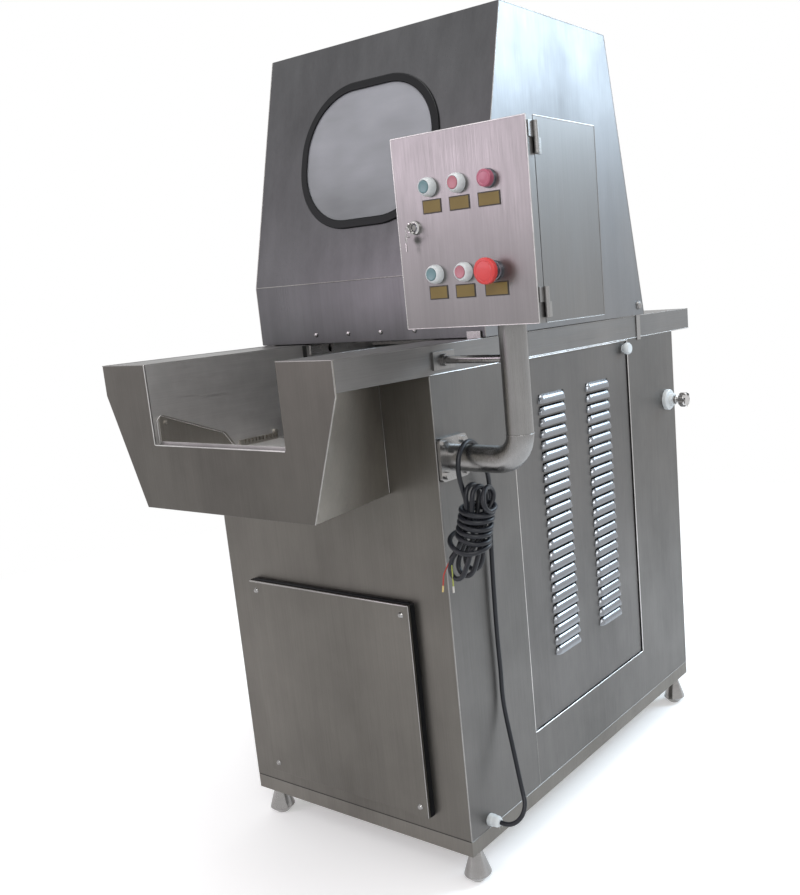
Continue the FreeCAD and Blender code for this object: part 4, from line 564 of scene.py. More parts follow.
@dataclass
class SheetWork(Maker):
    """Sheet metal and machined parts: copies of the CAD nodes with their edges broken."""

    frame: dict
    finishes: dict[str, str] = field(default_factory=lambda: {
        "skirt_sheet": "base_frame",
        "turned_foot": "levelling_feet",
        "cabinet_sheet": "cabinet_front cabinet_rear",
        "side_sheet": "cabinet_left cabinet_right brine_catch_tray brine_tank",
        "panel_sheet": "front_access_panel",
        "edge_rubber": "access_panel_gasket window_rubber",
        "screw_steel": "access_panel_screws hood_band_screws",
        "rail_sheet": "rail_right rail_left",
        "bush_bronze": "column_bushes",
        "channel_sheet": "channel_pan",
        "cheek_sheet": "infeed_cheeks",
        "trough_sheet": "infeed_trough",
        "machined_steel": (
            "feed_grate brine_pump arm_flange_bolts hood_hinge_straps hood_rest_blocks feed_rake "
            "head_beam needle_manifold stripper_plate"),
        "ground_rod": "rake_slide_shafts needle_columns needles box_lock_key valve_knob",
        "pipe_steel": "brine_pipes control_arm",
        "drive_paint": "drive_frame gearmotor crankshaft connecting_rods",
        "box_sheet": "control_box_shell control_box_door",
        "gear_plastic": "control_gear",
        "zinc_bracket": "door_brackets",
        "hood_sheet": "hood_shell",
        "door_sheet": "side_door",
        "brass_plate": "label_plates",
        "window_sheet": "window_glass",
        "white_moulding": "cord_gland valve_flange door_latch button_bezels",
        "red_lens": "indicator_lamp",
        "stop_red": "emergency_stop_head",
        "green_cap": "green_start_button_1 green_start_button_2",
        "red_cap": "red_stop_button_1 red_stop_button_2",
        "wire_red": "cord_end_wires",
        "lead_rubber": "power_cord cord_hank",
    })
    eased: dict[Pair, str] = field(default_factory=lambda: {
        (0.0009, 0.03): "hood_shell",
        (0.0008, 0.03): "infeed_trough",
        (0.0011, 0.03): "rail_right rail_left",
        (0.0006, 0.06): "control_box_shell",
        (0.0009, 0.06): "control_box_door",
        (0.0012, 0.05): "front_access_panel base_frame",
        (0.0006, 0.15): "cabinet_front cabinet_left cabinet_right cabinet_rear",
        (0.0008, 0.008): "hood_rest_blocks",
        (0.0005, 0.02): "hood_hinge_straps",
        (0.0026, 0.0): "window_rubber",
        (0.0010, 0.05): "head_beam",
        (0.0008, 0.05): "stripper_plate",
        (0.0009, 0.0): "valve_flange cord_gland",
        (0.0008, 0.004): "door_latch",
        (0.0008, 0.0): "levelling_feet valve_knob",
        (0.0003, 0.05): "control_arm",
    })
    wide: float = 0.002
    facings: tuple[Facing, ...] = (
        # The hood's side faces take the paler copy of its steel: painted sheen.
        Facing("hood_shell", "hood_side", (1, 0, 0), (290, -400, 1040), (320, 400, 1700)),
        Facing("hood_shell", "hood_side", (-1, 0, 0), (-320, -400, 1040), (-290, 400, 1700)),
        Facing("control_box_door control_box_shell", "machined_steel", (1, 0, 0), (574.6, -560, 1060),
               (600, -500, 1390), -1),
        # The trough's outer slanted side takes the paler copy of its steel: painted light.
        Facing("infeed_trough", "trough_side", (0.9, 0.3, -0.25), (176, -720, 700), (310, -470, 1045), 0.7),
        Facing("control_arm", "machined_steel", (1, 0, 0), (300, -500, 770), (325, -380, 910)),
        # The trough's inner walls, floor and sloped face take the paler copy of its steel: painted light.
        Facing("infeed_trough", "trough_inside", (1, 0, 0), (-180, -720, 850), (-165, 600, 1045)),
        Facing("infeed_trough", "trough_inside", (-1, 0, 0), (165, -720, 850), (180, 600, 1045)),
        Facing("infeed_trough", "trough_inside", (0, 0, 1), (-175, -705, 700), (175, 600, 1000)),
        Facing("infeed_trough", "trough_inside", (0, -0.7, 0.7), (-175, -705, 700), (175, 600, 1000)),
    )

    def dress_nodes(self) -> None:
        """Gives every CAD node its finish."""
        for finish, names in self.finishes.items():
            for name in names.split():
                materials = self.frame["nodes"][name].data.materials
                materials.clear()
                materials.append(self.palette[finish])
        LOG.info("dressed %d frame nodes", len(self.frame["nodes"]))

    def ease(self) -> None:
        """Replaces sheet and machined nodes by copies with broken edges."""
        rows = ((name, *sizes) for sizes, names in self.eased.items() for name in names.split())
        for name, width, least in rows:
            copy = copy_of(self.frame["nodes"][name], name + "_piece")
            ease_edges(copy, width, least, 4 if width > self.wide else 2)
            smooth(copy, SMOOTH)
            self.face(copy, name)
            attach(copy, self.frame["nodes"][name]["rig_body"])
            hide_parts(name)
            LOG.info("%s: %d faces", copy.name, len(copy.data.polygons))

    def face(self, sheet: Piece, name: str) -> None:
        """Gives some faces of a sheet another finish; some are paler copies of its steel, painted light."""
        for facing in self.facings:
            if name not in facing.nodes.split():
                continue
            if facing.finish not in sheet.data.materials:
                sheet.data.materials.append(self.palette[facing.finish])
            index = sheet.data.materials.find(facing.finish)
            for polygon in sheet.data.polygons:
                if facing.holds(polygon):
                    polygon.material_index = index


@dataclass(frozen=True)
class Seam:
    """Line along one or more edges, most finished lighter than their sheet as a painted highlight that also
    catches the lamps' light: its corner points and radius, in millimetres.
    """

    name: str
    radius: float
    points: tuple[Point, ...]
    finish: str = "edge_line"
    body: str = "machine"
    slot: str = "brushed_steel"
    twin: str = ""

    def runs(self, name: str, side: float) -> Piece:
        """The seam's rods as one piece; a side of -1 mirrors them."""
        corners = [place(side * x, y, z) for x, y, z in self.points]
        rods = [rod(name, *ends, self.radius) for ends in zip(corners, corners[1:])]
        return joined(rods, name)


@dataclass
class EdgeTrim(Maker):
    """Rods along folded and welded edges of the sheets, most finished lighter than the sheets: painted
    highlights along the edges, whose rounding also catches the lamps' light.
    """

    seams: tuple[Seam, ...] = (
        # Each rod paints a highlight along its edge, except the dark skirt seam and the gasket's rubber
        # bulge.
        Seam("wing_left_hem", 1.2, ((-173, -708, 896), (-173, -708, 1042)), "polished_edge"),
        Seam("wing_left_top", 0.8, ((-173, -708, 1042), (-300, -708, 1042))),
        Seam("wing_right_hem", 0.9, ((222, -708, 776), (300, -708, 986), (300, -708, 1042),
             (173, -708, 1042))),
        Seam("cheek_edge_left", 0.9, ((-170.6, -698.6, 862), (-170.6, -698.6, 940), (-170.6, -690, 948),
             (-170.6, -556, 894), (-170.6, -532, 861)),
             "polished_edge", twin="cheek_edge_right"),
        Seam("sill_lip", 1.4, ((-172, -708, 896), (172, -708, 896)), "polished_edge"),
        Seam("rail_outer_line", 0.8, ((300, -704, 1042), (300, 585, 1042)), twin="rail_left_outer_line"),
        Seam("rail_lower_line", 1.0, ((300, -480, 992), (300, 585, 992)), "polished_edge"),
        Seam("rail_inner_line", 0.8, ((174, -704, 1042), (174, 585, 1042)), twin="rail_left_inner_line"),
        Seam("cabinet_corner_front", 1.3, ((299.6, -481.6, 104), (299.6, -481.6, 990))),
        Seam("cabinet_corner_rear", 0.9, ((299.6, 481.6, 104), (299.6, 481.6, 990)),
             twin="cabinet_corner_rear_left"),
        Seam("cabinet_corner_front_left", 0.9, ((-299.6, -481.6, 104), (-299.6, -481.6, 990))),
        Seam("skirt_seam_front", 0.8, ((-299, -482, 103), (299, -482, 103)), "slot_dark"),
        Seam("skirt_seam_side", 0.7, ((300, -481, 103), (300, 481, 103))),
        Seam("opening_line", 1.5, ((298.8, -243.2, 220.8), (298.8, 243.2, 220.8), (298.8, 243.2, 989.2),
             (298.8, -243.2, 989.2)), "polished_edge"),
        Seam("opening_line_hinged", 1.2, ((299.4, -244.2, 989.2), (299.4, -244.2, 220.8)), "polished_edge"),
        Seam("skirt_weld", 0.6, ((300, -243.5, 219), (300, -243.5, 104))),
        Seam("trough_weld", 1.4, ((181.5, -483.4, 778), (181.5, -483.4, 990)), "polished_edge"),
        Seam("box_edge_top", 0.9, ((574, -521, 1375), (574, -343, 1375), (314, -343, 1375),
             (314, -521, 1375)), "polished_edge"),
        Seam("box_edge_low", 0.6, ((574, -521, 1075), (574, -343, 1075))),
        Seam("box_edge_rear", 0.6, ((574, -342.4, 1076), (574, -342.4, 1374))),
        Seam("gasket_bulge", 5.2, ((-221, -487.4, 567.4), (208, -487.4, 567.4)),
             "edge_rubber", slot="black_rubber"),
        Seam("panel_edge_top", 2.0, ((-225, -498.6, 568), (212, -498.6, 568))),
        Seam("panel_edge_right", 1.0, ((212.6, -499.6, 568.6), (212.6, -499.6, 139.4))),
        Seam("box_door_edge", 1.0, ((314.5, -540.5, 1075.5), (314.5, -540.5, 1374.5),
             (573.5, -540.5, 1374.5), (573.5, -540.5, 1075.5),
             (314.5, -540.5, 1075.5)), "polished_edge", body="box_door"),
        Seam("hood_band_line", 1.0, ((-304.5, -315, 1168), (304.5, -315, 1168)), body="hood"),
        Seam("hood_edge_right", 1.0, ((304.6, -314.6, 1045), (304.6, -314.6, 1168),
             (304.6, -190.6, 1649.5), (304.6, 200.6, 1649.5),
             (304.6, 326.6, 1045)), body="hood", twin="hood_edge_left"),
    )
    elbow_weld: Point = (453.6, -441.0, 887.5)
    pipe_radius: float = 24.0

    def build(self) -> None:
        """Makes one piece of each seam and of each mirrored one."""
        for seam in self.seams:
            for name, side in ((seam.name, 1.0), (seam.twin, -1.0)):
                if name:
                    self.dress(seam.runs(name, side), seam.finish, seam.slot, seam.body, 60.0)
        weld = ring("elbow_weld", place(*self.elbow_weld), UP, self.pipe_radius, 1.1)
        self.dress(weld, "edge_line", "polished_steel", angle=60.0)
        # The log counts the painted edge highlights as polished edges.
        LOG.info("polished edges: %d lines and a weld", len(self.seams))


@dataclass
class LouvreBank(Maker):
    """Side door with two columns of pressed louvres, each an arched hood with rounded ends."""

    frame: dict
    face_x: float = 296.0
    columns: Pair = (-93.0, 97.0)
    rows: int = 24
    pitch: float = 23.5
    top_z: float = 912.4
    length: float = 99.5
    height: float = 18.2
    reach: float = 9.0
    wall: float = 1.2
    end: float = 13.0
    crease: float = 0.55
    arc: tuple[float, ...] = (2, 24, 48, 70, 90)
    sides: int = 36
    margin: float = 52.0
    louvred: Pair = (300.0, 930.0)

    def hood(self) -> Piece:
        """One louvre: a barrel with rounded ends, cut to its outer upper part and given a wall."""
        half = self.length / 2
        sunk = (self.height ** 2 / self.reach - self.reach) / 2
        arc = [math.radians(a) for a in self.arc]
        ends = [(math.hypot(self.height * math.sin(a), sunk), self.end * (1 - math.cos(a))) for a in arc]
        profile = ends + [(radius, self.length - level) for radius, level in reversed(ends)]
        start = Vector((-sunk * MM, -half * MM, 0))
        hood = turned("louvre", profile, start, Vector((0, 1, 0)), self.sides)
        take(hood)
        bpy.ops.object.transform_apply()
        with editing():
            for normal in ((1, 0, 0), (0, 0, 1)):
                bpy.ops.mesh.select_all(action="SELECT")
                bpy.ops.mesh.bisect(plane_co=(0, 0, 0), plane_no=normal, clear_inner=True)
            bpy.ops.mesh.select_all(action="SELECT")
            bpy.ops.mesh.normals_make_consistent(inside=False)
        for vertex in hood.data.vertices:
            share = max(0.0, vertex.co.x / (self.reach * MM))
            vertex.co.x = self.reach * MM * share ** self.crease
        wall = hood.modifiers.new("wall", "SOLIDIFY")
        wall.thickness = self.wall * MM
        wall.offset = -1.0
        take(hood)
        bpy.ops.object.modifier_apply(modifier="wall")
        return hood

    def door(self) -> None:
        """Copies the door and opens the slots that the louvres cover."""
        node = self.frame["nodes"]["side_door"]
        door = copy_of(node, "side_door_piece")
        mesh = bmesh.new()
        mesh.from_mesh(door.data)
        out = place(self.face_x + 0.3, 0, 0).x
        low = place(0, min(self.columns) - self.margin, self.louvred[0])
        high = place(0, max(self.columns) + self.margin, self.louvred[1])
        louvres = [v for v in mesh.verts
                   if v.co.x > out and low.y < v.co.y < high.y and low.z < v.co.z < high.z]
        bmesh.ops.delete(mesh, geom=louvres, context="VERTS")
        mesh.to_mesh(door.data)
        mesh.free()
        smooth(door, SMOOTH)
        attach(door, "side_door")
        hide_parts("side_door")
        LOG.info("side door: %d louvre points taken off", len(louvres))

    def build(self) -> None:
        """Copies the louvre into its rows and columns and joins them."""
        self.door()
        model = self.hood()
        copies = []
        for y, row in product(self.columns, range(self.rows)):
            take(model)
            bpy.ops.object.duplicate()
            copy = bpy.context.view_layer.objects.active
            copy.location = place(self.face_x, y, self.top_z - self.height - row * self.pitch)
            copies.append(copy)
        take(model)
        bpy.ops.object.delete()
        bank = joined(copies, "louvre_bank")
        # The louvres take the paler, bluer copy of the door's steel: painted sheen.
        self.dress(bank, "louvre_sheet", "brushed_steel", "side_door", 50.0)
        LOG.info("%d louvres, %d faces", len(copies), len(bank.data.polygons))


class Push(Enum):
    """The kinds of push button, by colour; each kind fills one column."""

    START = "green"
    STOP = "red"


@dataclass
class ControlPanel(Maker):
    """What the control box's door carries: buttons, lamp, emergency stop, bare labels and lock."""

    corner: Point = (314.0, -541.0, 1075.0)
    columns: Point = (71.0, 128.0, 186.0)
    levels: Pair = (219.0, 85.0)
    labels: tuple[Point, ...] = (
        (74.1, 189.5, 37.4), (128.5, 189.5, 39.4), (185.1, 189.5, 41.6),
        (72.8, 56.3, 37.2), (126.5, 56.0, 38.2), (186.6, 55.8, 44.0))
    label_height: float = 21.5
    label_border: float = 1.8
    border_out: float = 1.1
    plate_out: Pair = (0.6, 1.5)
    stop_drop: float = 2.0
    lock: Pair = (36.0, 160.0)
    bezel: Pairs = (
        (14.9, -0.5), (14.9, 5.0), (14.5, 8.0), (13.4, 11.0), (12.2, 13.2), (11.3, 14.2), (10.5, 14.4),
        (10.0, 13.9), (9.9, 5.0))
    cap: Pairs = (
        (9.6, 3.4), (9.6, 14.2), (9.2, 14.9), (8.4, 15.1), (7.4, 14.7), (4.2, 14.4), (1.5, 14.3))
    lens: Pairs = (
        (12.9, 2.0), (12.9, 11.6), (12.6, 12.8), (11.6, 13.6), (9.6, 13.8), (9.0, 13.2), (8.2, 13.2),
        (4.2, 13.7), (1.5, 13.8))
    lens_ring: Pairs = ((14.4, -0.5), (14.4, 2.6), (13.9, 3.6), (13.2, 3.8), (13.0, 3.2))
    stop_head: Pairs = (
        (12.4, 12.4), (14.5, 16.0), (18.4, 19.4), (19.8, 21.6), (20.0, 24.0), (20.0, 27.6), (19.5, 29.6),
        (18.0, 30.8), (15.6, 31.1), (15.1, 30.6), (14.4, 30.6), (13.9, 31.1), (8.0, 31.5), (3.0, 31.6))
    stop_neck: Pairs = ((12.6, 5.0), (12.6, 14.0), (12.0, 14.4))
    stop_collar: Pairs = (
        (15.4, -0.5), (15.4, 2.4), (15.0, 5.0), (14.3, 6.3), (13.4, 6.7), (12.8, 6.5))
    lock_ring: Pairs = (
        (11.2, -0.3), (11.2, 2.2), (10.6, 4.0), (9.0, 5.0), (7.8, 5.2), (7.2, 4.6), (7.0, 2.0))
    lock_barrel: Pairs = ((6.8, 1.0), (6.8, 3.8), (6.2, 4.3), (1.0, 4.3))

    def at(self, x: float, z: float, out: float = 0.0) -> Vector:
        """Point on the door's face, by its distance from the lower left corner."""
        return place(self.corner[0] + x, self.corner[1] - out, self.corner[2] + z)

    def knob(self, name: str, profile: Pairs, spot: Vector, finish: str, slot: str, body: str,
             node: str = "") -> None:
        """A turned piece that stands out from the door, its profile in millimetres above the face."""
        self.dress(turned(name, profile, spot, OUT, 48), finish, slot, body, 35.0, node)

    def buttons(self) -> None:
        """Bezels on the door and a dished cap in each."""
        rings = []
        for (column, push), row in product(enumerate(Push), (0, 1)):
            colour, body = push.value, f"{push.name.lower()}_button_{row + 1}"
            node = f"{colour}_{body}"
            spot = self.at(self.columns[column], self.levels[row])
            rings.append(turned("bezel", self.bezel, spot, OUT, 48))
            self.knob(node + "_cap", self.cap, spot, colour + "_cap", colour + "_plastic", body, node)
        bezels = joined(rings, "button_bezel_rings")
        self.dress(bezels, "white_moulding", "white_plastic", "box_door", 35.0, "button_bezels")

    def lamp_and_stop(self) -> None:
        """Red lamp above and the emergency stop below it."""
        lamp = self.at(self.columns[2], self.levels[0])
        stop = self.at(self.columns[2], self.levels[1] - self.stop_drop)
        self.knob("lamp_lens", self.lens, lamp, "red_lens", "red_plastic", "box_door", "indicator_lamp")
        self.knob("lamp_ring", self.lens_ring, lamp, "collar_metal", "chrome", "box_door")
        self.knob("stop_head", self.stop_head, stop, "stop_red", "red_plastic", "emergency_stop",
                  "emergency_stop_head")
        self.knob("stop_neck", self.stop_neck, stop, "collar_metal", "red_plastic", "emergency_stop")
        self.knob("stop_collar", self.stop_collar, stop, "collar_metal", "chrome", "box_door")

    def plates(self) -> None:
        """Bare brass plates in dark borders, one under each control."""
        rows = (("bare_label_plates", "brass_plate", "brass", self.label_border, self.plate_out,
                 "label_plates"),
                ("label_borders", "label_border", "black_rubber", 0.0, (0.0, self.border_out), ""))
        for name, finish, slot, inset, (low, high), node in rows:
            slabs = []
            for x, z, width in self.labels:
                wide, tall = width / 2 - inset, self.label_height / 2 - inset
                slabs.append(slab(name, self.at(x - wide, z - tall, low),
                                  self.at(x + wide, z + tall, high)))
            whole = joined(slabs, name)
            ease_edges(whole, 0.0003)
            self.dress(whole, finish, slot, "box_door", node=node)

    def lock_and_keys(self) -> None:
        """Chrome lock with a key in it, and a second key on the same ring."""
        spot = self.at(*self.lock)
        self.knob("lock_ring", self.lock_ring, spot, "ground_rod", "chrome", "box_door")
        self.knob("lock_barrel", self.lock_barrel, spot, "collar_metal", "chrome", "box_lock")
        x, z = self.lock
        profile = ((4.6, -0.8), (6.0, -0.4), (6.4, 0.0), (6.0, 0.4), (4.6, 0.8))
        pieces = [
            slab("key_blade", self.at(x - 0.8, z - 2.6, 3.0), self.at(x + 0.8, z + 2.6, 10.0)),
            turned("key_bow", profile, self.at(x, z, 14.5), Vector((1, 0, 0)), 24),
            ring("key_ring", self.at(x - 1.5, z - 7.0, 18.0), Vector((0.5, 1, 0.2)), 8.0, 0.6),
            turned("second_bow", profile, self.at(x - 9.0, z - 17.0, 15.0), Vector((0.9, 1, 0)), 24),
            slab("second_blade", self.at(x - 9.8, z - 36.0, 14.0), self.at(x - 8.6, z - 22.0, 16.0)),
        ]
        keys = joined(pieces, "lock_keys")
        ease_edges(keys, 0.00015)
        self.dress(keys, "ground_rod", "chrome", "box_lock")

    def build(self) -> None:
        """Makes the whole panel."""
        self.buttons()
        self.lamp_and_stop()
        self.plates()
        self.lock_and_keys()
        LOG.info("control panel: %d kinds of push button", len(Push))


@dataclass
class TroughTrim(Maker):
    """Black slab that paints a slot's shade, and a guide plate, on the channel's left wall."""

    wall_x: float = -173.0
    slot: tuple[float, float, float, float] = (-324.0, -313.0, 1009.0, 1041.0)
    plate: tuple[float, float, float, float] = (-303.0, -242.0, 1020.0, 1040.5)

    def build(self) -> None:
        """Makes the black slab that paints the slot's shade, and the plate with one rounded end."""
        y0, y1, z0, z1 = self.slot
        # A black slab on the wall face paints the shade inside the slot.
        gap = slab("channel_slot", place(self.wall_x - 0.6, y0, z0), place(self.wall_x + 0.7, y1, z1))
        ease_edges(gap, 0.0004)
        settle(gap, self.palette["slot_dark"], "machine")
        y0, y1, z0, z1 = self.plate
        plate = slab("guide_plate", place(self.wall_x - 0.5, y0, z0), place(self.wall_x + 3.0, y1, z1))
        nose = turned("plate_end", (((z1 - z0) / 2, 0.0), ((z1 - z0) / 2, 3.5)),
                      place(self.wall_x - 0.5, y1, (z0 + z1) / 2), Vector((1, 0, 0)), 32)
        guide = joined([plate, nose], "guide_plate")
        ease_edges(guide, 0.0005)
        self.dress(guide, "polished_edge", "polished_steel")


@dataclass
class MainsLead(Maker):
    """Black lead: up the wall from its gland, over the arm and into a hank tied with its own end."""

    diameter: float = 9.0
    route: tuple[Point, ...] = (
        (326, -422, 120.5), (338.5, -422, 119), (350.5, -419, 121.4), (360.3, -413.5, 127.2),
        (366.2, -406.3, 135.7), (367.4, -398.5, 145.5), (365.3, -391.8, 156), (360, -386.8, 166.2),
        (351, -381, 187), (341, -375, 218), (329, -368, 256), (316, -362, 302), (308.7, -361, 350),
        (309.5, -360, 405), (308.7, -361, 460), (309.5, -362, 515), (308.7, -360, 570),
        (309.5, -359, 625), (310, -357, 680), (313, -355, 730), (318, -358, 772), (326, -373, 808),
        (335, -399, 843), (341, -424, 868.5), (345, -453, 874), (347, -478, 857), (349, -487, 829),
        (352, -485, 802), (354.5, -478, 775))
    hank_top: Point = (375.0, -466.0, 803.0)
    hank_middle: Point = (370.0, -483.0, 720.0)
    hank_low: Point = (341.0, -497.0, 637.0)
    hank_length: float = 172.0
    strands: Pairs = ((-19, 1), (-10, -15), (-9, 15), (3, -17.5), (4, 17.5), (16, -9))
    twist: float = 80.0
    twisted: Pair = (40.0, 95.0)
    folds: tuple[tuple[float, float, int, Pair], ...] = (
        (64, 136, 1, (0, -3)), (80, 21, -1, (-3, 0)), (80, 146, 1, (0, 0)), (80, 24, -1, (-1, 0)),
        (80, 150, 1, (0, 6)))
    fold_radius: float = 19.0
    fold_reach: float = 20.0
    fold_neck: Pairs = ((0.12, 1.9), (0.55, 1.15), (0.98, 0.5))
    fold_bow: float = 1.035
    fold_angles: tuple[float, ...] = (2, 32, 61, 90, 119, 148, 178)
    wrap_radius: float = 28.0
    wrap_shape: Pair = (1.08, 0.97)
    wrap_top: float = 40.0
    wrap_pitch: float = 11.4
    wrap_steps: int = 58
    wrap_start: float = -62.0
    wrap_turn: float = 30.0
    turnover: tuple[Point, ...] = (
        (17, -16, 38), (18, -20.5, 27), (19, -19, 16), (20, -11, 8.5), (21, 0, 6), (23, 11, 9),
        (25, 19, 17), (27, 22, 27), (29, 21, 36), (31, 15, 43), (31, 5, 46), (31, -7, 42), (27, -17, 38))
    loose_turn: tuple[Point, ...] = (
        (-1, 31, 96), (-30, 30, 97), (-60, 29, 98), (-90, 30, 99), (-118, 33, 99), (-143, 38, 99),
        (-165, 42, 101), (172, 42, 104), (150, 39, 107), (126, 34, 110), (100, 31, 111), (75, 31, 111),
        (50, 32, 109), (24, 33, 106), (-4, 33, 104), (-32, 32, 105), (-60, 30, 108), (-90, 28, 114),
        (-120, 27, 121), (-150, 28, 127), (180, 28, 134), (155, 27, 143))
    red_tip: Point = (321.0, -521.0, 628.0)
    earth_tip: Point = (343.0, -520.0, 629.0)

    def inside(self, side: float, out: float, down: float) -> Vector:
        """Point of the hank, by its place across the middle line and its distance down it."""
        top, middle, low = Vector(self.hank_top), Vector(self.hank_middle), Vector(self.hank_low)
        t = down / self.hank_length
        line = top * ((1 - t) * (1 - 2 * t)) + middle * (4 * t * (1 - t)) + low * (t * (2 * t - 1))
        slope = (top * (4 * t - 3) + middle * (4 - 8 * t) + low * (4 * t - 1)).normalized()
        right = Vector((1, 0, 0))
        right = (right - slope * right.dot(slope)).normalized()
        return line + right * side + slope.cross(right) * out

    def strand(self, index: int, down: float) -> Vector:
        """Place of a strand across the hank, turned with the distance down it."""
        side, out = self.strands[index]
        start, length = self.twisted
        turn = math.radians(self.twist * min(1.0, max(0.0, (down - start) / length)))
        return Vector((side * math.cos(turn) - out * math.sin(turn),
                       side * math.sin(turn) + out * math.cos(turn)))

    def fold(self, first: int, level: float, way: int, shift: Pair) -> list[Vector]:
        """Rounded fold from one strand to the next.

        Args:
            first: index of the strand that runs into the fold.
            level: distance down the hank of the fold's middle.
            way: -1 at the top and 1 below.
            shift: how far the fold is set aside, to the right and to the front.

        Returns:
            Points of the fold.
        """
        start, end = (self.strand(i, level - way * self.fold_reach) for i in (first, first + 1))
        middle = (start + end) / 2
        half = (end - start).length / 2
        along = (end - start).normalized()
        radius = max(self.fold_radius, half)
        extra = radius - half
        neck = [(half + share * extra, s) for share, s in self.fold_neck]
        path = [(-x, s) for x, s in neck]
        path += [(-self.fold_bow * radius * math.cos(math.radians(a)),
                  -self.fold_bow * math.sin(math.radians(a))) for a in self.fold_angles]
        path += list(reversed(neck))
        points = []
        for x, s in path:
            share = 1.0 if s < 1.1 else 0.4
            across = middle + along * x + Vector(shift) * share
            points.append(self.inside(across.x, across.y, level - way * s * radius))
        return points

    def hank_points(self) -> list[Vector]:
        """The lead's points through the folds and wraps of the hank."""
        def along(index: int, *levels: float) -> list[Vector]:
            """Points down one strand."""
            return [self.inside(*self.strand(index, level), level) for level in levels]

        points = []
        for index, (enter, level, way, shift) in enumerate(self.folds):
            points += along(index, enter) + self.fold(index, level, way, shift)
        points += along(len(self.folds), 92, 66, 50)
        points += [self.inside(*spot) for spot in self.turnover]
        wide, deep = self.wrap_shape
        for step in range(self.wrap_steps):
            angle = math.radians(self.wrap_start - self.wrap_turn * step)
            out = deep * self.wrap_radius * math.sin(angle)
            level = self.wrap_top + self.wrap_pitch * step / 12.0 + 0.32 * out + math.sin(0.8 * step)
            points.append(self.inside(wide * self.wrap_radius * math.cos(angle), out, level))
        for angle, radius, level in self.loose_turn:
            out = radius * math.sin(math.radians(angle))
            points.append(self.inside(radius * math.cos(math.radians(angle)), out, level + 0.3 * out))
        return points

    def wire(self, name: str, points: Sequence[Vector], radius: float, finish: str) -> Piece:
        """A short bent wire."""
        take(tube(name, points, radius, 6, 3))
        bpy.ops.object.convert(target="MESH")
        wire = bpy.context.view_layer.objects.active
        wire.data.materials.clear()
        wire.data.materials.append(self.palette[finish])
        smooth(wire, 50.0)
        return wire

    def wires(self, root: Vector) -> Piece:
        """Two cores that come out of the lead's cut end, each with a ferrule."""
        pieces = []
        for name, tip, finish, sleeve, bulge in (
                ("red_core", self.red_tip, "wire_red", "ferrule_yellow", -5.0),
                ("earth_core", self.earth_tip, "wire_yellow_green", "ferrule_pale", 3.0)):
            end = Vector(tip)
            middle = (root + end) / 2 + Vector((bulge, -3.0, 0.0))
            before = middle.lerp(end, 0.6)
            pieces.append(self.wire(name, (root, middle, before, end), 1.3, finish))
            tail = end + (end - before).normalized() * 11.0
            pieces.append(self.wire(name + "_ferrule", (end, end.lerp(tail, 0.5), tail), 1.7, sleeve))
        wires = joined(pieces, "end_wires")
        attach(wires, "machine")
        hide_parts("cord_end_wires")
        return wires

    def build(self) -> None:
        """Makes the lead as one spline, and the wires at its end."""
        points = [Vector(p) for p in self.route] + self.hank_points()
        lead = tube("mains_lead", points, self.diameter / 2, 4, 4)
        lead.data.materials.append(self.palette["lead_rubber"])
        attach(lead, "machine")
        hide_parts("power_cord", "cord_hank")
        wires = self.wires(points[-1])


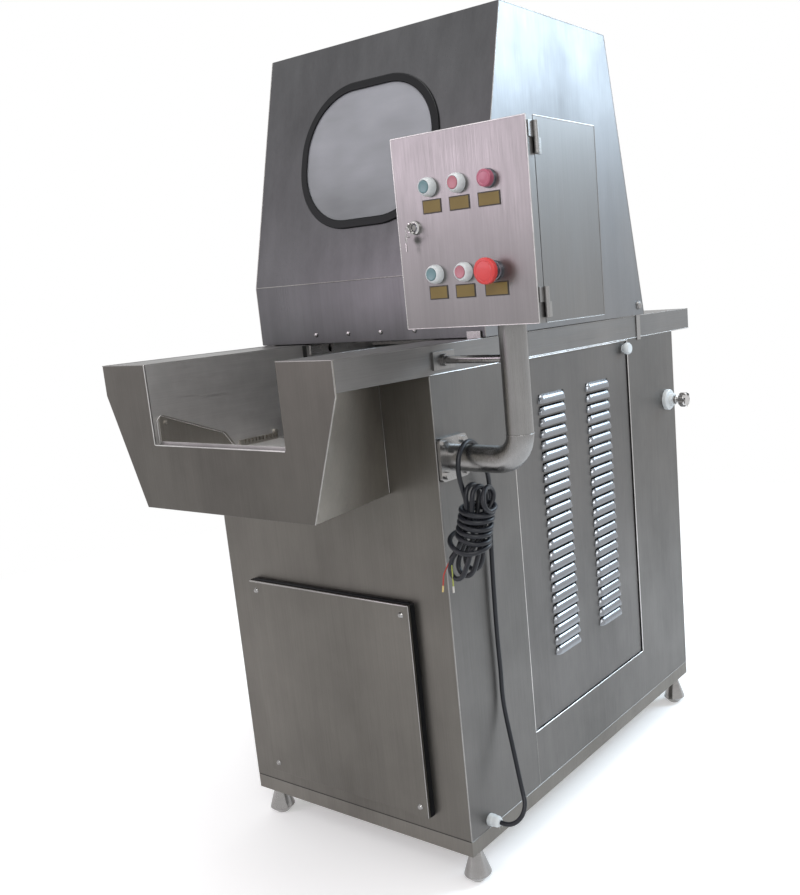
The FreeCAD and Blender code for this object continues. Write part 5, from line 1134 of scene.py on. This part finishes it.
@dataclass
class Studio:
    """Pale floor and backdrop, soft lamps and the camera."""

    eye: Point = (1370.75, -1759.36, 1133.41)
    azimuth: float = 34.69
    elevation: float = 10.89
    roll: float = -4.30
    focal_px: float = 961.12
    centre_px: Pair = (525.23, 470.12)
    width_px: int = 800
    height_px: int = 895
    sensor: float = 36.0
    clip: Pair = (0.05, 60.0)
    sky: Pair = (0.55, 1.0)
    floor_radius: float = 20.0
    floor_fade: Pair = (1.3, 3.2)

    def camera(self) -> None:
        """Sets the camera at the photograph's place."""
        a, e, r = (math.radians(v) for v in (self.azimuth, self.elevation, self.roll))
        back = Vector((math.sin(a) * math.cos(e), -math.cos(a) * math.cos(e), math.sin(e)))
        right = UP.cross(back).normalized()
        up = back.cross(right)
        turned_right = right * math.cos(r) + up * math.sin(r)
        turned_up = up * math.cos(r) - right * math.sin(r)
        data = bpy.data.cameras.new("camera")
        data.sensor_width = self.sensor
        data.lens = self.focal_px / self.height_px * self.sensor
        data.shift_x = (self.width_px / 2 - self.centre_px[0]) / self.height_px
        data.shift_y = (self.centre_px[1] - self.height_px / 2) / self.height_px
        data.clip_start, data.clip_end = self.clip
        camera = bpy.data.objects.new("camera", data)
        bpy.context.scene.collection.objects.link(camera)
        axes = Matrix((turned_right, turned_up, back)).transposed()
        camera.matrix_world = Matrix.Translation(place(*self.eye)) @ axes.to_4x4()
        bpy.context.scene.camera = camera

    def lamp(self, name: str, spot: Point, aim: Point, size: float, power: float,
             colour: Point = (1.0, 1.0, 1.0)) -> None:
        """Adds a soft area lamp."""
        data = bpy.data.lights.new(name, "AREA")
        data.shape = "SQUARE"
        data.size = size
        data.energy = power
        data.color = colour
        lamp = bpy.data.objects.new(name, data)
        bpy.context.scene.collection.objects.link(lamp)
        aimed = (Vector(aim) - Vector(spot)).to_track_quat("-Z", "Y").to_matrix().to_4x4()
        lamp.matrix_world = Matrix.Translation(Vector(spot)) @ aimed

    @staticmethod
    def seen(graph: Graph) -> Socket:
        """One for rays that show the background: from the camera, and through glass and off metal."""
        path = graph.add("LightPath")
        total = path.outputs["Is Camera Ray"]
        for name in ("Is Glossy Ray", "Is Transmission Ray"):
            either = graph.add("Math", operation="MAXIMUM")
            total = graph.feed(either, total, path.outputs[name]).outputs[0]
        return total

    def world(self) -> None:
        """White background for the camera and for reflections, and a dim sky for the rest."""
        world = bpy.data.worlds.new("studio")
        bpy.context.scene.world = world
        world.use_nodes = True
        graph = Graph(world.node_tree)
        level = graph.ranged(self.seen(graph), *self.sky, (0.0, 1.0))
        graph.feed(graph.tree.nodes["Background"], Color=(1.0, 1.0, 1.0, 1.0), Strength=level)

    def floor(self) -> None:
        """White floor that keeps the machine's shadow and fades into the background."""
        deselect()
        bpy.ops.mesh.primitive_circle_add(vertices=96, radius=self.floor_radius, fill_type="NGON")
        floor = made("studio_floor")
        nodes = Nodes("floor_paper")
        nodes.feed(nodes.shader, Base_Color=(0.9, 0.9, 0.9, 1.0), Roughness=0.95, Specular_IOR_Level=0.0)
        far = nodes.feed(nodes.add("VectorMath", operation="LENGTH"), nodes.coords.outputs["Object"])
        fade = nodes.ranged(far.outputs["Value"], 0.0, 1.0, self.floor_fade)
        seen = self.seen(nodes)
        white = nodes.add("Emission")
        dim = nodes.feed(nodes.add("Emission"), Strength=0.5)
        lift = nodes.feed(nodes.add("Emission"), Strength=nodes.ranged(seen, 0.0, 0.3, (0.0, 1.0)))
        near = nodes.feed(nodes.add("AddShader"), nodes.shader.outputs[0], lift.outputs[0])
        away = nodes.blend(seen, dim.outputs[0], white.outputs[0])
        both = nodes.blend(fade, near.outputs[0], away)
        nodes.feed(nodes.tree.nodes["Material Output"], Surface=both)
        floor.data.materials.append(nodes.material)

    def build(self) -> None:
        """Sets up the whole studio."""
        self.camera()
        self.world()
        self.floor()
        self.lamp("window", (3.1, 4.2, 3.65), (0.2, 0, 1.3), 2.6, 230.0, (0.66, 0.84, 1.0))
        self.lamp("front_left", (-2.6, -4.4, 2.4), (0.3, -0.5, 1.2), 1.9, 44.0, (1.0, 0.83, 0.98))
        self.lamp("key", (2.8, -3.2, 3.4), (0, 0, 0.9), 1.8, 60.0)
        self.lamp("top", (0.3, -0.2, 4.2), (0, 0, 1.0), 2.5, 70.0)


def main() -> None:
    """Builds the sub-assemblies in order."""
    logging.basicConfig(level=logging.INFO, format="%(message)s")
    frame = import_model()
    bpy.context.scene.view_settings.view_transform = "Standard"
    Studio().build()
    palette = Palette()
    MainsLead(palette).build()
    sheets = SheetWork(palette, frame)
    sheets.dress_nodes()
    sheets.ease()
    LouvreBank(palette, frame).build()
    ControlPanel(palette).build()
    TroughTrim(palette).build()
    EdgeTrim(palette).build()


if __name__ == "__main__":
    main()
